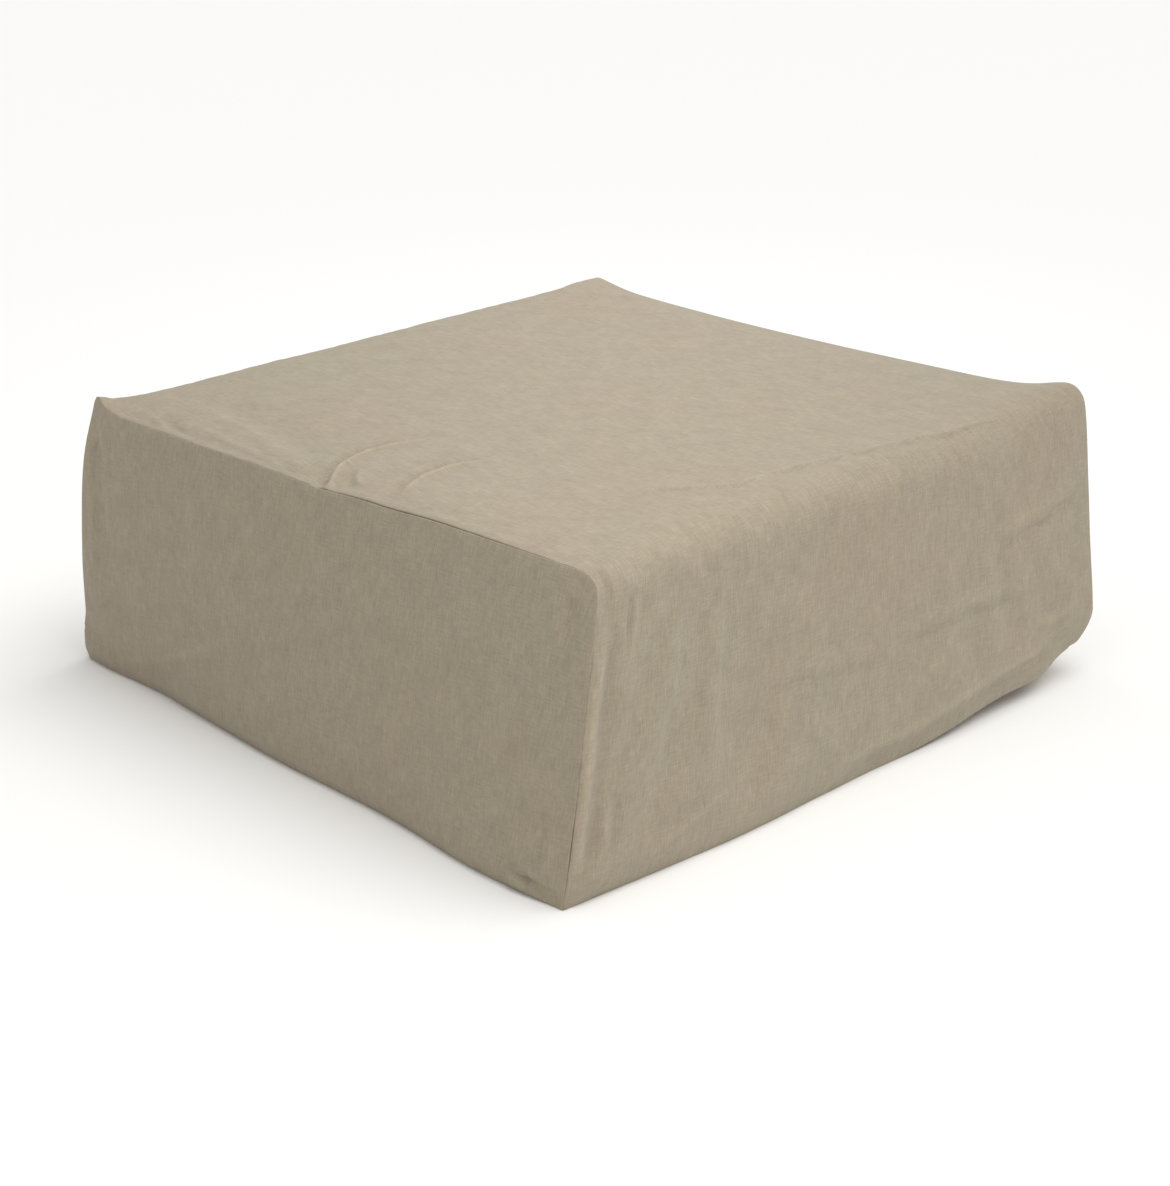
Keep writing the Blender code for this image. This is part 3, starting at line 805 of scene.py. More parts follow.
def washedLinen():
    look = bpy.data.materials.new("washed flax linen, plain weave")
    look.use_nodes = True
    tree = look.node_tree
    shader = tree.nodes["Principled BSDF"]
    shader.inputs["Roughness"].default_value = 0.92
    shader.inputs["Specular IOR Level"].default_value = 0.25
    shader.inputs["Sheen Weight"].default_value = 0.18
    shader.inputs["Sheen Roughness"].default_value = 0.6
    place = addNode(tree, "ShaderNodeUVMap", uv_map="clothMap")
    heights, tones = [], []
    for turned, stretch, seed in ((False, 26.0, 3.1), (True, 18.0, 7.7)):
        # threads: long noise streaks one thread wide, along the warp and across it
        scale = 1 / linenLook["thread"]
        size = (scale / stretch, scale, 1) if turned else (scale, scale / stretch, 1)
        spread = addNode(tree, "ShaderNodeMapping", {"Vector": place.outputs["UV"]},
                         {"Location": (seed, seed * 2, 0), "Scale": size})
        streak = addNode(tree, "ShaderNodeTexNoise", {"Vector": spread.outputs["Vector"]},
                         {"Scale": 1.0, "Detail": 2.0, "Roughness": 0.6})
        tones.append(streak.outputs["Fac"])
        heights.append(streak.outputs["Fac"])
        # slubs: thicker places in single yarns, some centimetres long
        slubSize = (scale / 55, scale / 2.2, 1) if turned else (scale / 2.2, scale / 70, 1)
        slubPlace = addNode(tree, "ShaderNodeMapping", {"Vector": place.outputs["UV"]},
                            {"Location": (seed * 3, seed, 0), "Scale": slubSize})
        slub = addNode(tree, "ShaderNodeTexNoise", {"Vector": slubPlace.outputs["Vector"]},
                       {"Scale": 1.0, "Detail": 1.0})
        few = addNode(tree, "ShaderNodeMapRange", {"Value": slub.outputs["Fac"]},
                      {"From Min": 0.62, "From Max": 0.78, "To Min": 0.0, "To Max": 1.0})
        heights.append(few.outputs["Result"])
        tones.append(few.outputs["Result"])
    patch = addNode(tree, "ShaderNodeTexNoise", {"Vector": place.outputs["UV"]},
                    {"Scale": 26.0, "Detail": 4.0, "Roughness": 0.62})
    drift = addNode(tree, "ShaderNodeTexNoise", {"Vector": place.outputs["UV"]},
                    {"Scale": 4.5, "Detail": 2.0})
    yarn = addNode(tree, "ShaderNodeMath", {0: tones[0], 1: tones[2]}, operation="ADD")
    yarnRange = addNode(tree, "ShaderNodeMapRange", {"Value": yarn.outputs[0]},
                        {"From Min": 0.62, "From Max": 1.38, "To Min": 0.0, "To Max": 1.0})
    body = addNode(tree, "ShaderNodeMix", {"Factor": yarnRange.outputs["Result"]},
                   data_type="RGBA")
    body.inputs["A"].default_value = hexLinear(linenLook["deep"])
    body.inputs["B"].default_value = hexLinear(linenLook["light"])
    tint = addNode(tree, "ShaderNodeMapRange", {"Value": drift.outputs["Fac"]},
                   {"From Min": 0.35, "From Max": 0.65, "To Min": 0.0, "To Max": 0.35})
    warmed = addNode(tree, "ShaderNodeMix", {"Factor": tint.outputs["Result"], "A": body.outputs["Result"]},
                     data_type="RGBA")
    warmed.inputs["B"].default_value = hexLinear(linenLook["warm"])
    shade = addNode(tree, "ShaderNodeMapRange", {"Value": patch.outputs["Fac"]},
                    {"From Min": 0.3, "From Max": 0.7, "To Min": 0.95, "To Max": 1.05})
    # heather: bands up to a centimetre wide, along the warp and across it, where the yarn took the wash unevenly
    both = shade.outputs["Result"]
    for size, spread, detail in linenLook["heather"]:
        bandPlace = addNode(tree, "ShaderNodeMapping", {"Vector": place.outputs["UV"]}, {"Scale": size})
        band = addNode(tree, "ShaderNodeTexNoise", {"Vector": bandPlace.outputs["Vector"]},
                       {"Scale": 1.0, "Detail": detail, "Roughness": 0.75})
        bandRange = addNode(tree, "ShaderNodeMapRange", {"Value": band.outputs["Fac"]},
                            {"From Min": 0.34, "From Max": 0.66, "To Min": 1 - spread, "To Max": 1 + spread})
        both = addNode(tree, "ShaderNodeMath", {0: both, 1: bandRange.outputs["Result"]},
                       operation="MULTIPLY").outputs[0]
    # pressed creases: a painted highlight makes the crest paler, and painted shade makes the dip beside it darker
    rubbed = addNode(tree, "ShaderNodeAttribute", attribute_name="creasePaintedLight")
    pale = addNode(tree, "ShaderNodeMapRange", {"Value": rubbed.outputs["Fac"]},
                   {"From Min": -1.0, "From Max": 1.0, "To Min": 1 - linenLook["paintedCreaseLight"],
                    "To Max": 1 + linenLook["paintedCreaseLight"]})
    both = addNode(tree, "ShaderNodeMath", {0: both, 1: pale.outputs["Result"]},
                   operation="MULTIPLY").outputs[0]
    final = addNode(tree, "ShaderNodeMix", {"A": warmed.outputs["Result"], "B": both},
                    {"Factor": 1.0}, data_type="RGBA", blend_type="MULTIPLY")
    tree.links.new(final.outputs["Result"], shader.inputs["Base Color"])
    crumple = addNode(tree, "ShaderNodeMapping", {"Vector": place.outputs["UV"]}, {"Scale": (85, 42, 1)})
    wrinkle = addNode(tree, "ShaderNodeTexNoise", {"Vector": crumple.outputs["Vector"]},
                      {"Scale": 1.0, "Detail": 4.0, "Roughness": 0.6})
    fine = addNode(tree, "ShaderNodeMath", {0: heights[0], 1: heights[2]}, operation="ADD")
    thick = addNode(tree, "ShaderNodeMath", {0: heights[1], 1: heights[3]}, operation="ADD")
    threads = addNode(tree, "ShaderNodeMath", {0: thick.outputs[0], 2: fine.outputs[0]}, {1: 0.8},
                      operation="MULTIPLY_ADD")
    threadBump = addNode(tree, "ShaderNodeBump", {"Height": threads.outputs[0]},
                         {"Strength": 0.55, "Distance": 0.0003})
    crumpleBump = addNode(tree, "ShaderNodeBump",
                          {"Height": wrinkle.outputs["Fac"], "Normal": threadBump.outputs["Normal"]},
                          {"Strength": 0.5, "Distance": 0.0016})
    tree.links.new(crumpleBump.outputs["Normal"], shader.inputs["Normal"])
    return look


linen = washedLinen()


# The cover

# creases: points on the cloth in metres, then height, width, dip beside it and where, and tail
# on the wrap: across, and along from the front edge, back over the top or down the front as minus
# on the left side: along from the middle, and height
folds = {
    "wrap": (
        (((-0.436, 0.392), (-0.412, 0.408), (-0.375, 0.432), (-0.325, 0.443), (-0.280, 0.440),
          (-0.235, 0.424)), 0.0048, 0.0050, 1.0, 2.1, 0.45),
        (((-0.400, 0.372), (-0.385, 0.392), (-0.362, 0.410)), 0.0026, 0.0042, 0.9, 2.0, 0.4),
        (((-0.398, 0.312), (-0.345, 0.331), (-0.300, 0.335), (-0.240, 0.322)),
         0.0042, 0.0050, 1.0, 2.1, 0.45),
        (((-0.400, 0.215), (-0.360, 0.226), (-0.325, 0.230)), 0.0020, 0.0045, 0.8, 2.1, 0.4),
        (((-0.290, 0.133), (-0.200, 0.123), (-0.125, 0.073), (-0.035, 0.063), (0.055, 0.043),
          (0.185, 0.020), (0.300, 0.013)), 0.0023, 0.0038, 0.8, -2.0, 0.1),
        (((-0.335, 0.750), (-0.355, 0.600), (-0.415, 0.410)), 0.0018, 0.014, 0.5, 2.0, 0.3),
        (((-0.385, 0.680), (-0.400, 0.560), (-0.412, 0.470)), 0.0013, 0.0065, 0.7, 2.0, 0.3),
        (((-0.395, 0.745), (-0.415, 0.690), (-0.418, 0.640)), 0.0022, 0.0060, 0.8, 2.0, 0.4),
        (((-0.408, 0.020), (-0.400, 0.004), (-0.398, -0.020), (-0.397, -0.050)),
         0.0016, 0.0050, 1.0, -2.0, 0.4),
        (((-0.371, -0.026), (-0.373, -0.052), (-0.376, -0.092)), -0.0042, 0.0034, 0.5, 2.2, 0.6),
        (((-0.411, -0.040), (-0.412, -0.130), (-0.414, -0.220), (-0.414, -0.325)),
         0.0040, 0.0068, 0.6, 2.3, 0.15),
        (((-0.389, -0.225), (-0.384, -0.262), (-0.386, -0.315)), 0.0022, 0.0060, 0.8, 2.0, 0.4),
        (((0.040, -0.205), (0.160, -0.203), (0.290, -0.207)), -0.0018, 0.0075, 0.8, 2.0, 0.3),
        (((-0.170, -0.190), (-0.060, -0.203), (0.065, -0.225)), -0.0013, 0.0080, 0.8, 2.0, 0.3),
        (((0.225, -0.140), (0.320, -0.130), (0.400, -0.112)), -0.0026, 0.0080, 0.8, 2.0, 0.3),
        (((-0.275, -0.013), (-0.262, -0.038), (-0.260, -0.060)), 0.0008, 0.0045, 0.8, 2.0, 0.4),
        (((-0.330, -0.318), (-0.240, -0.290), (-0.150, -0.262)), 0.0013, 0.0080, 0.9, 2.0, 0.4),
        (((-0.050, -0.315), (0.110, -0.311), (0.270, -0.304), (0.380, -0.296)),
         0.0024, 0.0090, 1.0, -1.9, 0.2),
        (((0.300, -0.255), (0.345, -0.262), (0.400, -0.246)), 0.0016, 0.0080, 0.9, 2.0, 0.3),
    ),
    "left": (
        (((-0.372, 0.030), (-0.404, 0.020), (-0.440, 0.014)), -0.0058, 0.0056, 0.6, 2.2, 0.1),
        (((-0.423, 0.096), (-0.427, 0.060), (-0.421, 0.028)), 0.0022, 0.0060, 0.9, 2.0, 0.2),
        (((-0.404, 0.085), (-0.412, 0.040)), 0.0014, 0.0060, 0.9, 2.0, 0.3),
        (((0.412, 0.336), (0.396, 0.318), (0.378, 0.280)), 0.0020, 0.0060, 0.9, 2.0, 0.5),
        (((0.428, 0.330), (0.421, 0.250), (0.424, 0.120)), 0.0018, 0.0070, 0.9, -2.0, 0.4),
        (((0.385, 0.275), (0.375, 0.160)), 0.0011, 0.0070, 0.9, 2.0, 0.4),
        (((0.380, 0.020), (0.260, 0.065), (0.160, 0.115)), 0.0014, 0.0100, 0.8, 2.0, 0.4),
        (((-0.005, 0.305), (-0.005, 0.280)), 0.0009, 0.0050, 0.8, 2.0, 0.4),
        (((-0.395, 0.332), (-0.402, 0.300), (-0.408, 0.255)), -0.0022, 0.0080, 0.5, 2.0, 0.5),
    ),
    "right": (
        (((-0.400, 0.045), (-0.340, 0.090), (-0.300, 0.160)), 0.0020, 0.0100, 0.9, 2.0, 0.4),
        (((0.405, 0.330), (0.390, 0.250), (0.396, 0.150)), 0.0016, 0.0080, 0.9, 2.0, 0.4),
        (((-0.120, 0.322), (-0.040, 0.300), (0.070, 0.306)), 0.0014, 0.0080, 0.8, 2.0, 0.4),
    ),
}


def linenRelief(u, v, seed):
    # the crumpled ground of washed linen: broad swells, then ripples longer along the warp
    swell = 0.0014 * noise(u, v, 0.23, 0.26, seed) + 0.0008 * noise(u, v, 0.085, 0.11, seed + 1)
    ripple = (0.00045 * noise(u, v, 0.030, 0.055, seed + 2) + 0.00030 * noise(u, v, 0.014, 0.034, seed + 3)
              + 0.00016 * noise(u, v, 0.009, 0.060, seed + 4))
    return swell, ripple


def borderFade(grid, width):
    # 0 at the border, 1 further in, by distance across the grid
    rows, columns = grid.shape[:2]
    stepRow = np.linalg.norm(np.diff(grid[:, columns // 2], axis=0), axis=1)
    stepColumn = np.linalg.norm(np.diff(grid[rows // 2], axis=0), axis=1)
    placeRow = np.concatenate([[0], np.cumsum(stepRow)])
    placeColumn = np.concatenate([[0], np.cumsum(stepColumn)])
    nearRow = np.minimum(placeRow, placeRow[-1] - placeRow)[:, None]
    nearColumn = np.minimum(placeColumn, placeColumn[-1] - placeColumn)[None]
    return smoothStep(0, width, np.minimum(nearRow, nearColumn))


def shapePanel(grid, u, v, seed, creases=()):
    # relief and creases on the nominal panel, then the cushion's settling; also the painted crease highlight and
    # shade at each point
    normals = gridNormals(grid)
    grid = draped(grid)
    swell, ripple = linenRelief(u, v, seed)
    height = swell * borderFade(grid, 0.09) + ripple * borderFade(grid, 0.03)
    creaseLightShade = np.zeros(u.shape)
    for crease in creases:
        rise, crestLightShade = creaseHeight(u, v, crease)
        height, creaseLightShade = height + rise, creaseLightShade + crestLightShade
    height = height * borderFade(grid, 0.006)
    raised = (grid + normals * height[..., None]).reshape(-1, 3)
    return settle(raised).reshape(grid.shape), np.clip(creaseLightShade, -1, 1)


radii = (cloth["frontEdgeRadius"], cloth["rearEdgeRadius"], cloth["cornerRadius"])
wrap, wrapU, wrapV = wrapGrid(coverHeight, halfWidth, 0.0, zipHigh, radii, cloth["cell"], cloth["edgeCell"])
fromSeam = wrapU - wrapU.min()
lip = bump(fromSeam, 0.010, 0.007) * smoothStep(0.04, 0.14, wrapV) * smoothStep(0.44, 0.34, wrapV)
wrap[..., 0] -= 0.0034 * lip  # the top rolls a little over the left seam
wrap[..., 2] += 0.0018 * lip
wrap, creaseLightShade = shapePanel(wrap, wrapU, wrapV, 11, folds["wrap"])
wrapPiece = clothPiece("wrap_panel_linen", wrap, wrapU, wrapV, linen, creaseLightShade)
print("wrap panel", len(wrapPiece.data.polygons))

sidePieces = []
for name, side, rearRadius, seed in (("left", -1, cloth["earRadius"], 31), ("right", 1, cloth["cornerRadius"], 51)):
    panel, u, v = sideGrid(side, coverHeight, halfWidth, 0.0, (cloth["cornerRadius"], rearRadius),
                           cloth["cell"], cloth["edgeCell"])
    panel, creaseLightShade = shapePanel(panel, u, v, seed, folds[name])
    sidePieces.append(clothPiece(name + "_side_panel_linen", panel, u, v, linen, creaseLightShade))
base, baseU, baseV = baseGrid(halfBase, zipLow, cloth["cell"], cloth["edgeCell"])
base = settle(base.reshape(-1, 3)).reshape(base.shape)
basePiece = clothPiece("base_panel_linen", base, baseU, baseV, linen)
print("side and base panels")

for piece, node, flat in ((wrapPiece, "wrap_panel", (0.90, 1.58)),
                          (sidePieces[0], "left_side_panel", (0.90, 0.355)),
                          (sidePieces[1], "right_side_panel", (0.90, 0.355)),
                          (basePiece, "base_panel", (0.90, 0.93))):
    declare(piece, "cushion", node)

# The case, the fibre and the foam

def softLook(name, code, roughness, scale, depth, distance):
    look = bpy.data.materials.new(name)
    look.use_nodes = True
    tree = look.node_tree
    shader = tree.nodes["Principled BSDF"]
    shader.inputs["Roughness"].default_value = roughness
    place = addNode(tree, "ShaderNodeTexCoord")
    cells = addNode(tree, "ShaderNodeTexVoronoi", {"Vector": place.outputs["Object"]}, {"Scale": scale})
    cloud = addNode(tree, "ShaderNodeTexNoise", {"Vector": place.outputs["Object"]},
                    {"Scale": scale / 12, "Detail": 4.0})
    tone = addNode(tree, "ShaderNodeMix", {"Factor": cloud.outputs["Fac"]}, data_type="RGBA")
    colour = hexLinear(code)
    tone.inputs["A"].default_value = [c * 0.86 for c in colour[:3]] + [1]
    tone.inputs["B"].default_value = [min(1, c * 1.08) for c in colour[:3]] + [1]
    tree.links.new(tone.outputs["Result"], shader.inputs["Base Color"])
    relief = addNode(tree, "ShaderNodeBump", {"Height": cells.outputs["Distance"]},
                     {"Strength": depth, "Distance": distance})
    tree.links.new(relief.outputs["Normal"], shader.inputs["Normal"])
    return look


calico = softLook("unbleached cotton calico, plain weave", "#E2DECF", 0.9, 900, 0.3, 0.0004)
wadding = softLook("lofted polyester wadding", "#EDEDE8", 0.95, 160, 0.8, 0.003)
softFoam = softLook("soft open cell polyurethane foam", "#E6E4D6", 0.95, 420, 0.7, 0.0012)
mediumFoam = softLook("medium open cell polyurethane foam", "#E0D5AE", 0.95, 380, 0.7, 0.0012)
firmFoam = softLook("firm open cell polyurethane foam", "#D3BE85", 0.95, 340, 0.7, 0.0012)


def layerBlock(name, node, inset, low, high, material, edge=0.0):
    # one slab: its own low and high, rounded at the top where it is the upper one
    levels = np.linspace(low, high - edge, 8)
    if edge:
        loops, reach = edgeLoops(inset, high, edge, core["corner"], levels)
    else:
        loops = [squareLoop(layerHalf(z, inset), core["corner"], z) for z in levels]
        reach = layerHalf(high, inset)
    loops = fillLoops(layerHalf(low, inset), core["corner"], low, False) + loops
    loops += fillLoops(reach, core["corner"] if not edge else core["corner"] * 0.4, high, True)
    piece = loftLoops(name, loops, material, False)
    declare(piece, "cushion", node)


caseInset = core["ease"] + core["caseCloth"] + core["gap"]
foamInset = caseInset + core["fibre"] + core["gap"]
caseTop = coverHeight - core["topEase"] - core["caseCloth"] - core["gap"]
foamTop = caseTop - core["fibre"] - core["gap"]
foamFoot = 0.0026
firstLevel, secondLevel = core["slabLevels"]
layerBlock("foam_base", "foam_base_slab", foamInset, foamFoot, firstLevel, firmFoam)
layerBlock("foam_middle", "foam_middle_slab", foamInset, firstLevel + core["gap"], secondLevel, mediumFoam)
layerBlock("foam_top", "foam_top_slab", foamInset, secondLevel + core["gap"], foamTop, softFoam,
           edge=0.030)


def declareLayer(piece, node):
    # a layer of the core, put on the cushion's body like any other piece
    declare(piece, "cushion", node)


def bandLoops(inset, corner, low, high):
    # loops up the upright side of a layer
    return [squareLoop(layerHalf(z, inset), corner, z) for z in np.linspace(low, high, 16)]


def sideBand(name, node, outer, inner, material):
    # a band round the core, between an outer and an inner run of loops
    piece = loftLoops(name, outer + inner[::-1], material, True)
    declareLayer(piece, node)


def topLayer(name, node, inset, low, high, edge, material):
    # a cap: flat sheet over the top of the core that turns over its edge
    outer, reach = edgeLoops(inset, high, edge, core["corner"], [high - edge])
    outer += fillLoops(reach, core["corner"] * 0.4, high, True)
    thick = high - low
    inner, reachIn = edgeLoops(inset + thick, low, edge - thick, core["corner"] - thick, [high - edge])
    inner += fillLoops(reachIn, core["corner"] * 0.4, low, True)
    piece = loftLoops(name, inner[::-1] + outer, material, False)
    declareLayer(piece, node)


edge = core["edge"]
splitZ = caseTop - edge
bandTop = splitZ - 0.001
topLayer("fibre_top", "fibre_top_sheet", caseInset, foamTop + core["gap"], caseTop, edge, wadding)
sideBand("fibre_sides", "fibre_side_band", bandLoops(caseInset, core["corner"], foamFoot, bandTop),
         bandLoops(foamInset - core["gap"], core["corner"] - core["fibre"], foamFoot, bandTop), wadding)

caseOuterTop = caseTop + core["gap"] + core["caseCloth"]
caseOuterInset = core["ease"]
topLayer("case_top", "liner_top", caseOuterInset, caseTop + core["gap"], caseOuterTop, edge + 0.001, calico)
caseFoot, baseUnder, baseFace = 0.0022, 0.0014, 0.0021
sideBand("case_sides", "liner_band", bandLoops(caseOuterInset, core["corner"], caseFoot, bandTop),
         bandLoops(caseInset - core["gap"], core["corner"] - core["caseCloth"], caseFoot, bandTop), calico)
baseHalf = layerHalf(0, caseOuterInset)
baseLoops = fillLoops(baseHalf, core["corner"], baseUnder, False)
baseLoops += [squareLoop(baseHalf, core["corner"], z) for z in (baseUnder, baseFace)]
baseLoops += fillLoops(baseHalf, core["corner"], baseFace, True)
casePiece = loftLoops("case_base", baseLoops, calico, False)
declare(casePiece, "cushion", "liner_base")
print("core")

# The zip: twill tapes, two coils of one filament each, stops, slider and pull

zipSizes = {
    "tapeEnd": 0.4478,
    "tapeWave": 0.00012,
    "tapeCloth": 0.0006,
    "tapeColour": "#9C8F78",
    "pitch": 0.0013,
    "wire": 0.00036,
    "trackHalf": 0.0005,  # the slider's post is 0.8 mm thick and runs between the heads
    "stitchPitch": 0.0032,
    "stitchLength": 0.0024,
    "stitchWidth": 0.0007,
    "stitchOff": 0.0055,  # from the folded cloth edge
}


def plainLook(name, code, roughness, metallic=0.0, sheen=0.0):
    look = bpy.data.materials.new(name)
    look.use_nodes = True
    shader = look.node_tree.nodes["Principled BSDF"]
    shader.inputs["Base Color"].default_value = hexLinear(code)
    shader.inputs["Roughness"].default_value = roughness
    shader.inputs["Metallic"].default_value = metallic
    shader.inputs["Sheen Weight"].default_value = sheen
    return look, look.node_tree, shader


def mottledLook(name, code, roughness, grain, detail, dark, pale, **finish):
    # a plain finish whose colour wanders between two tones, with that many grains per metre
    look, tree, shader = plainLook(name, code, roughness, **finish)
    place = addNode(tree, "ShaderNodeTexCoord")
    cloud = addNode(tree, "ShaderNodeTexNoise", {"Vector": place.outputs["Object"]},
                    {"Scale": grain, "Detail": detail})
    tone = addNode(tree, "ShaderNodeMix", {"Factor": cloud.outputs["Fac"]},
                   {"A": hexLinear(dark), "B": hexLinear(pale)}, data_type="RGBA")
    tree.links.new(tone.outputs["Result"], shader.inputs["Base Color"])
    return look, tree, shader, cloud


# polyester twill tape dyed to the linen: fine diagonal ribs, matt
twill, tree, shader = plainLook("dyed polyester twill tape", zipSizes["tapeColour"], 0.8, sheen=0.1)
place = addNode(tree, "ShaderNodeUVMap", uv_map="clothMap")
ribs = addNode(tree, "ShaderNodeTexWave", {"Vector": place.outputs["UV"]},
               {"Scale": 190.0, "Distortion": 0.6, "Detail": 1.0}, bands_direction="DIAGONAL")  # 0.8 mm ribs
cast = addNode(tree, "ShaderNodeMapRange", {"Value": ribs.outputs["Fac"]}, {"To Min": 0.80, "To Max": 1.05})
tone = addNode(tree, "ShaderNodeMix", {"B": cast.outputs["Result"]}, {"Factor": 1.0},
               data_type="RGBA", blend_type="MULTIPLY")
tone.inputs["A"].default_value = hexLinear(zipSizes["tapeColour"])
tree.links.new(tone.outputs["Result"], shader.inputs["Base Color"])
rise = addNode(tree, "ShaderNodeBump", {"Height": ribs.outputs["Fac"]}, {"Strength": 0.6, "Distance": 0.0003})
tree.links.new(rise.outputs["Normal"], shader.inputs["Normal"])

# nylon monofilament: drawn smooth, slightly glossy, a little uneven in the dye
filament = mottledLook("dyed nylon monofilament", "#8F846E", 0.36, 260.0, 2.0, "#857A65", "#9D927B")[0]

# zinc, die cast, barrel plated in dull nickel: soft gloss with rubbed, brighter patches
nickel, tree, shader, rubbed = mottledLook("nickel plated zinc, die cast", "#8C857A", 0.38, 420.0, 4.0,
                                           "#7C756A", "#A09A8E", metallic=1.0)
gloss = addNode(tree, "ShaderNodeMapRange", {"Value": rubbed.outputs["Fac"]},
                {"To Min": 0.26, "To Max": 0.52})
tree.links.new(gloss.outputs["Result"], shader.inputs["Roughness"])
rise = addNode(tree, "ShaderNodeBump", {"Height": rubbed.outputs["Fac"]},
               {"Strength": 0.15, "Distance": 0.0001})
tree.links.new(rise.outputs["Normal"], shader.inputs["Normal"])

# polyester satin ribbon: long floats across the width, a soft sheen
satin, tree, shader = plainLook("undyed polyester satin ribbon", "#E6E3DA", 0.42, sheen=0.3)
place = addNode(tree, "ShaderNodeUVMap", uv_map="clothMap")
stretch = addNode(tree, "ShaderNodeMapping", {"Vector": place.outputs["UV"]}, {"Scale": (300, 4000, 1)})
floats = addNode(tree, "ShaderNodeTexNoise", {"Vector": stretch.outputs["Vector"]},
                 {"Scale": 1.0, "Detail": 2.0})
tone = addNode(tree, "ShaderNodeMix", {"Factor": floats.outputs["Fac"]},
               {"A": hexLinear("#DAD6CB"), "B": hexLinear("#F0EEE7")}, data_type="RGBA")
tree.links.new(tone.outputs["Result"], shader.inputs["Base Color"])

# spun polyester sewing thread, two ply, a shade paler than the cloth
thread = mottledLook("spun polyester sewing thread", "#B7AB92", 0.7, 900.0, 2.0, "#A3977E", "#C4B9A1",
                     sheen=0.2)[0]


def closedSheet(name, grid, thickness, material, u, v):
    # a thin closed slab from a grid of points: face, back and a plain edge all round
    rows, columns = grid.shape[:2]
    back = grid - gridNormals(grid) * thickness
    index = np.arange(rows * columns).reshape(rows, columns)
    front = np.stack([index[:-1, :-1], index[:-1, 1:], index[1:, 1:], index[1:, :-1]], -1).reshape(-1, 4)
    behind = front[:, ::-1] + rows * columns
    ring = [i * columns + j for i, j, _ in loopOf(rows, columns)]
    edge = [(b, a, a + rows * columns, b + rows * columns) for a, b in zip(ring, ring[1:] + ring[:1])]
    points = np.concatenate([grid.reshape(-1, 3), back.reshape(-1, 3)])
    return meshPiece(name, points, front.tolist() + behind.tolist() + edge, material,
                     np.tile(u.ravel(), 2), np.tile(v.ravel(), 2))


def tapeGrid(low, high):
    # along X by across Z, faintly waved where the stitching pulls it
    x, z = np.meshgrid(np.linspace(zipSizes["tapeEnd"], -zipSizes["tapeEnd"], 220), np.linspace(low, high, 9))
    sewn = zipMiddle + np.sign(low + high - 2 * zipMiddle) * 0.010
    y = tapeFace + zipSizes["tapeWave"] * np.sin(x * 420) * bump(z, sewn, 0.004)
    return np.stack([x, y, z], -1), x, z


tapeFace = float(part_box("zip_tape_upper")[1][1])
for side in ("upper", "lower"):
    low, high = (float(corner[2]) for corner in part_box("zip_tape_" + side))
    grid, u, v = tapeGrid(low, high)
    tape = closedSheet("zip_tape_twill_" + side, grid, zipSizes["tapeCloth"], twill, u, v)
    declare(tape, "cushion", "zip_tape_" + side)


def nodeTree(name, inputs):
    # an empty Geometry Nodes tree with those named inputs: name to socket kind
    tree = bpy.data.node_groups.new(name, "GeometryNodeTree")
    tree.interface.new_socket("Geometry", in_out="INPUT", socket_type="NodeSocketGeometry")
    for label, kind in inputs.items():
        tree.interface.new_socket(label, in_out="INPUT", socket_type=kind)
    tree.interface.new_socket("Geometry", in_out="OUTPUT", socket_type="NodeSocketGeometry")
    return tree, tree.nodes.new("NodeGroupInput"), tree.nodes.new("NodeGroupOutput")


def grown(name, tree, values, points=(), edges=()):
    # runs a tree on a bare object and keeps the result as a plain mesh piece
    mesh = bpy.data.meshes.new(name + ".seed")
    mesh.from_pydata([tuple(p) for p in points], list(edges), [])
    seed = placed(name + ".seed", mesh)
    made = seed.modifiers.new("made", "NODES")
    made.node_group = tree
    sockets = {item.name: item.identifier for item in tree.interface.items_tree
               if item.item_type == "SOCKET" and item.in_out == "INPUT"}
    for label, value in values.items():
        made[sockets[label]] = value
    result = bpy.data.meshes.new_from_object(seed.evaluated_get(bpy.context.evaluated_depsgraph_get()))
    result.name = name
    seed.modifiers.remove(made)
    bpy.data.objects.remove(seed, do_unlink=True)
    return placed(name, result)


def coilTree():
    # one filament wound flat round the core cord, along X
    tree, given, result = nodeTree("zipCoil", {"Length": "NodeSocketFloat", "Pitch": "NodeSocketFloat",
                                               "Wire": "NodeSocketFloat", "Half Width": "NodeSocketFloat",
                                               "Half Depth": "NodeSocketFloat", "Place": "NodeSocketVector",
                                               "Turned": "NodeSocketBool"})
    turns = addNode(tree, "ShaderNodeMath", {0: given.outputs["Length"], 1: given.outputs["Pitch"]},
                    operation="DIVIDE")
    spiral = addNode(tree, "GeometryNodeCurveSpiral",
                     {"Rotations": turns.outputs[0], "Height": given.outputs["Length"],
                      "Reverse": given.outputs["Turned"]},
                     {"Resolution": 8, "Start Radius": 1.0, "End Radius": 1.0})
    flat = addNode(tree, "ShaderNodeCombineXYZ",
                   {"X": given.outputs["Half Width"], "Y": given.outputs["Half Depth"]}, {"Z": 1.0})
    shaped = addNode(tree, "GeometryNodeTransform",
                     {"Geometry": spiral.outputs["Curve"], "Scale": flat.outputs[0]})
    laid = addNode(tree, "GeometryNodeTransform", {"Geometry": shaped.outputs["Geometry"],
                                                   "Translation": given.outputs["Place"]},
                   {"Rotation": (0, math.pi / 2, 0)})
    ring = addNode(tree, "GeometryNodeCurvePrimitiveCircle", {"Radius": given.outputs["Wire"]},
                   {"Resolution": 5})
    solid = addNode(tree, "GeometryNodeCurveToMesh",
                    {"Curve": laid.outputs["Geometry"], "Profile Curve": ring.outputs["Curve"]},
                    {"Fill Caps": True})
    plain = addNode(tree, "GeometryNodeRealizeInstances", {"Geometry": solid.outputs["Mesh"]})
    dressed = addNode(tree, "GeometryNodeSetMaterial", {"Geometry": plain.outputs["Geometry"]},
                      {"Material": filament})
    tree.links.new(dressed.outputs["Geometry"], result.inputs["Geometry"])
    return tree


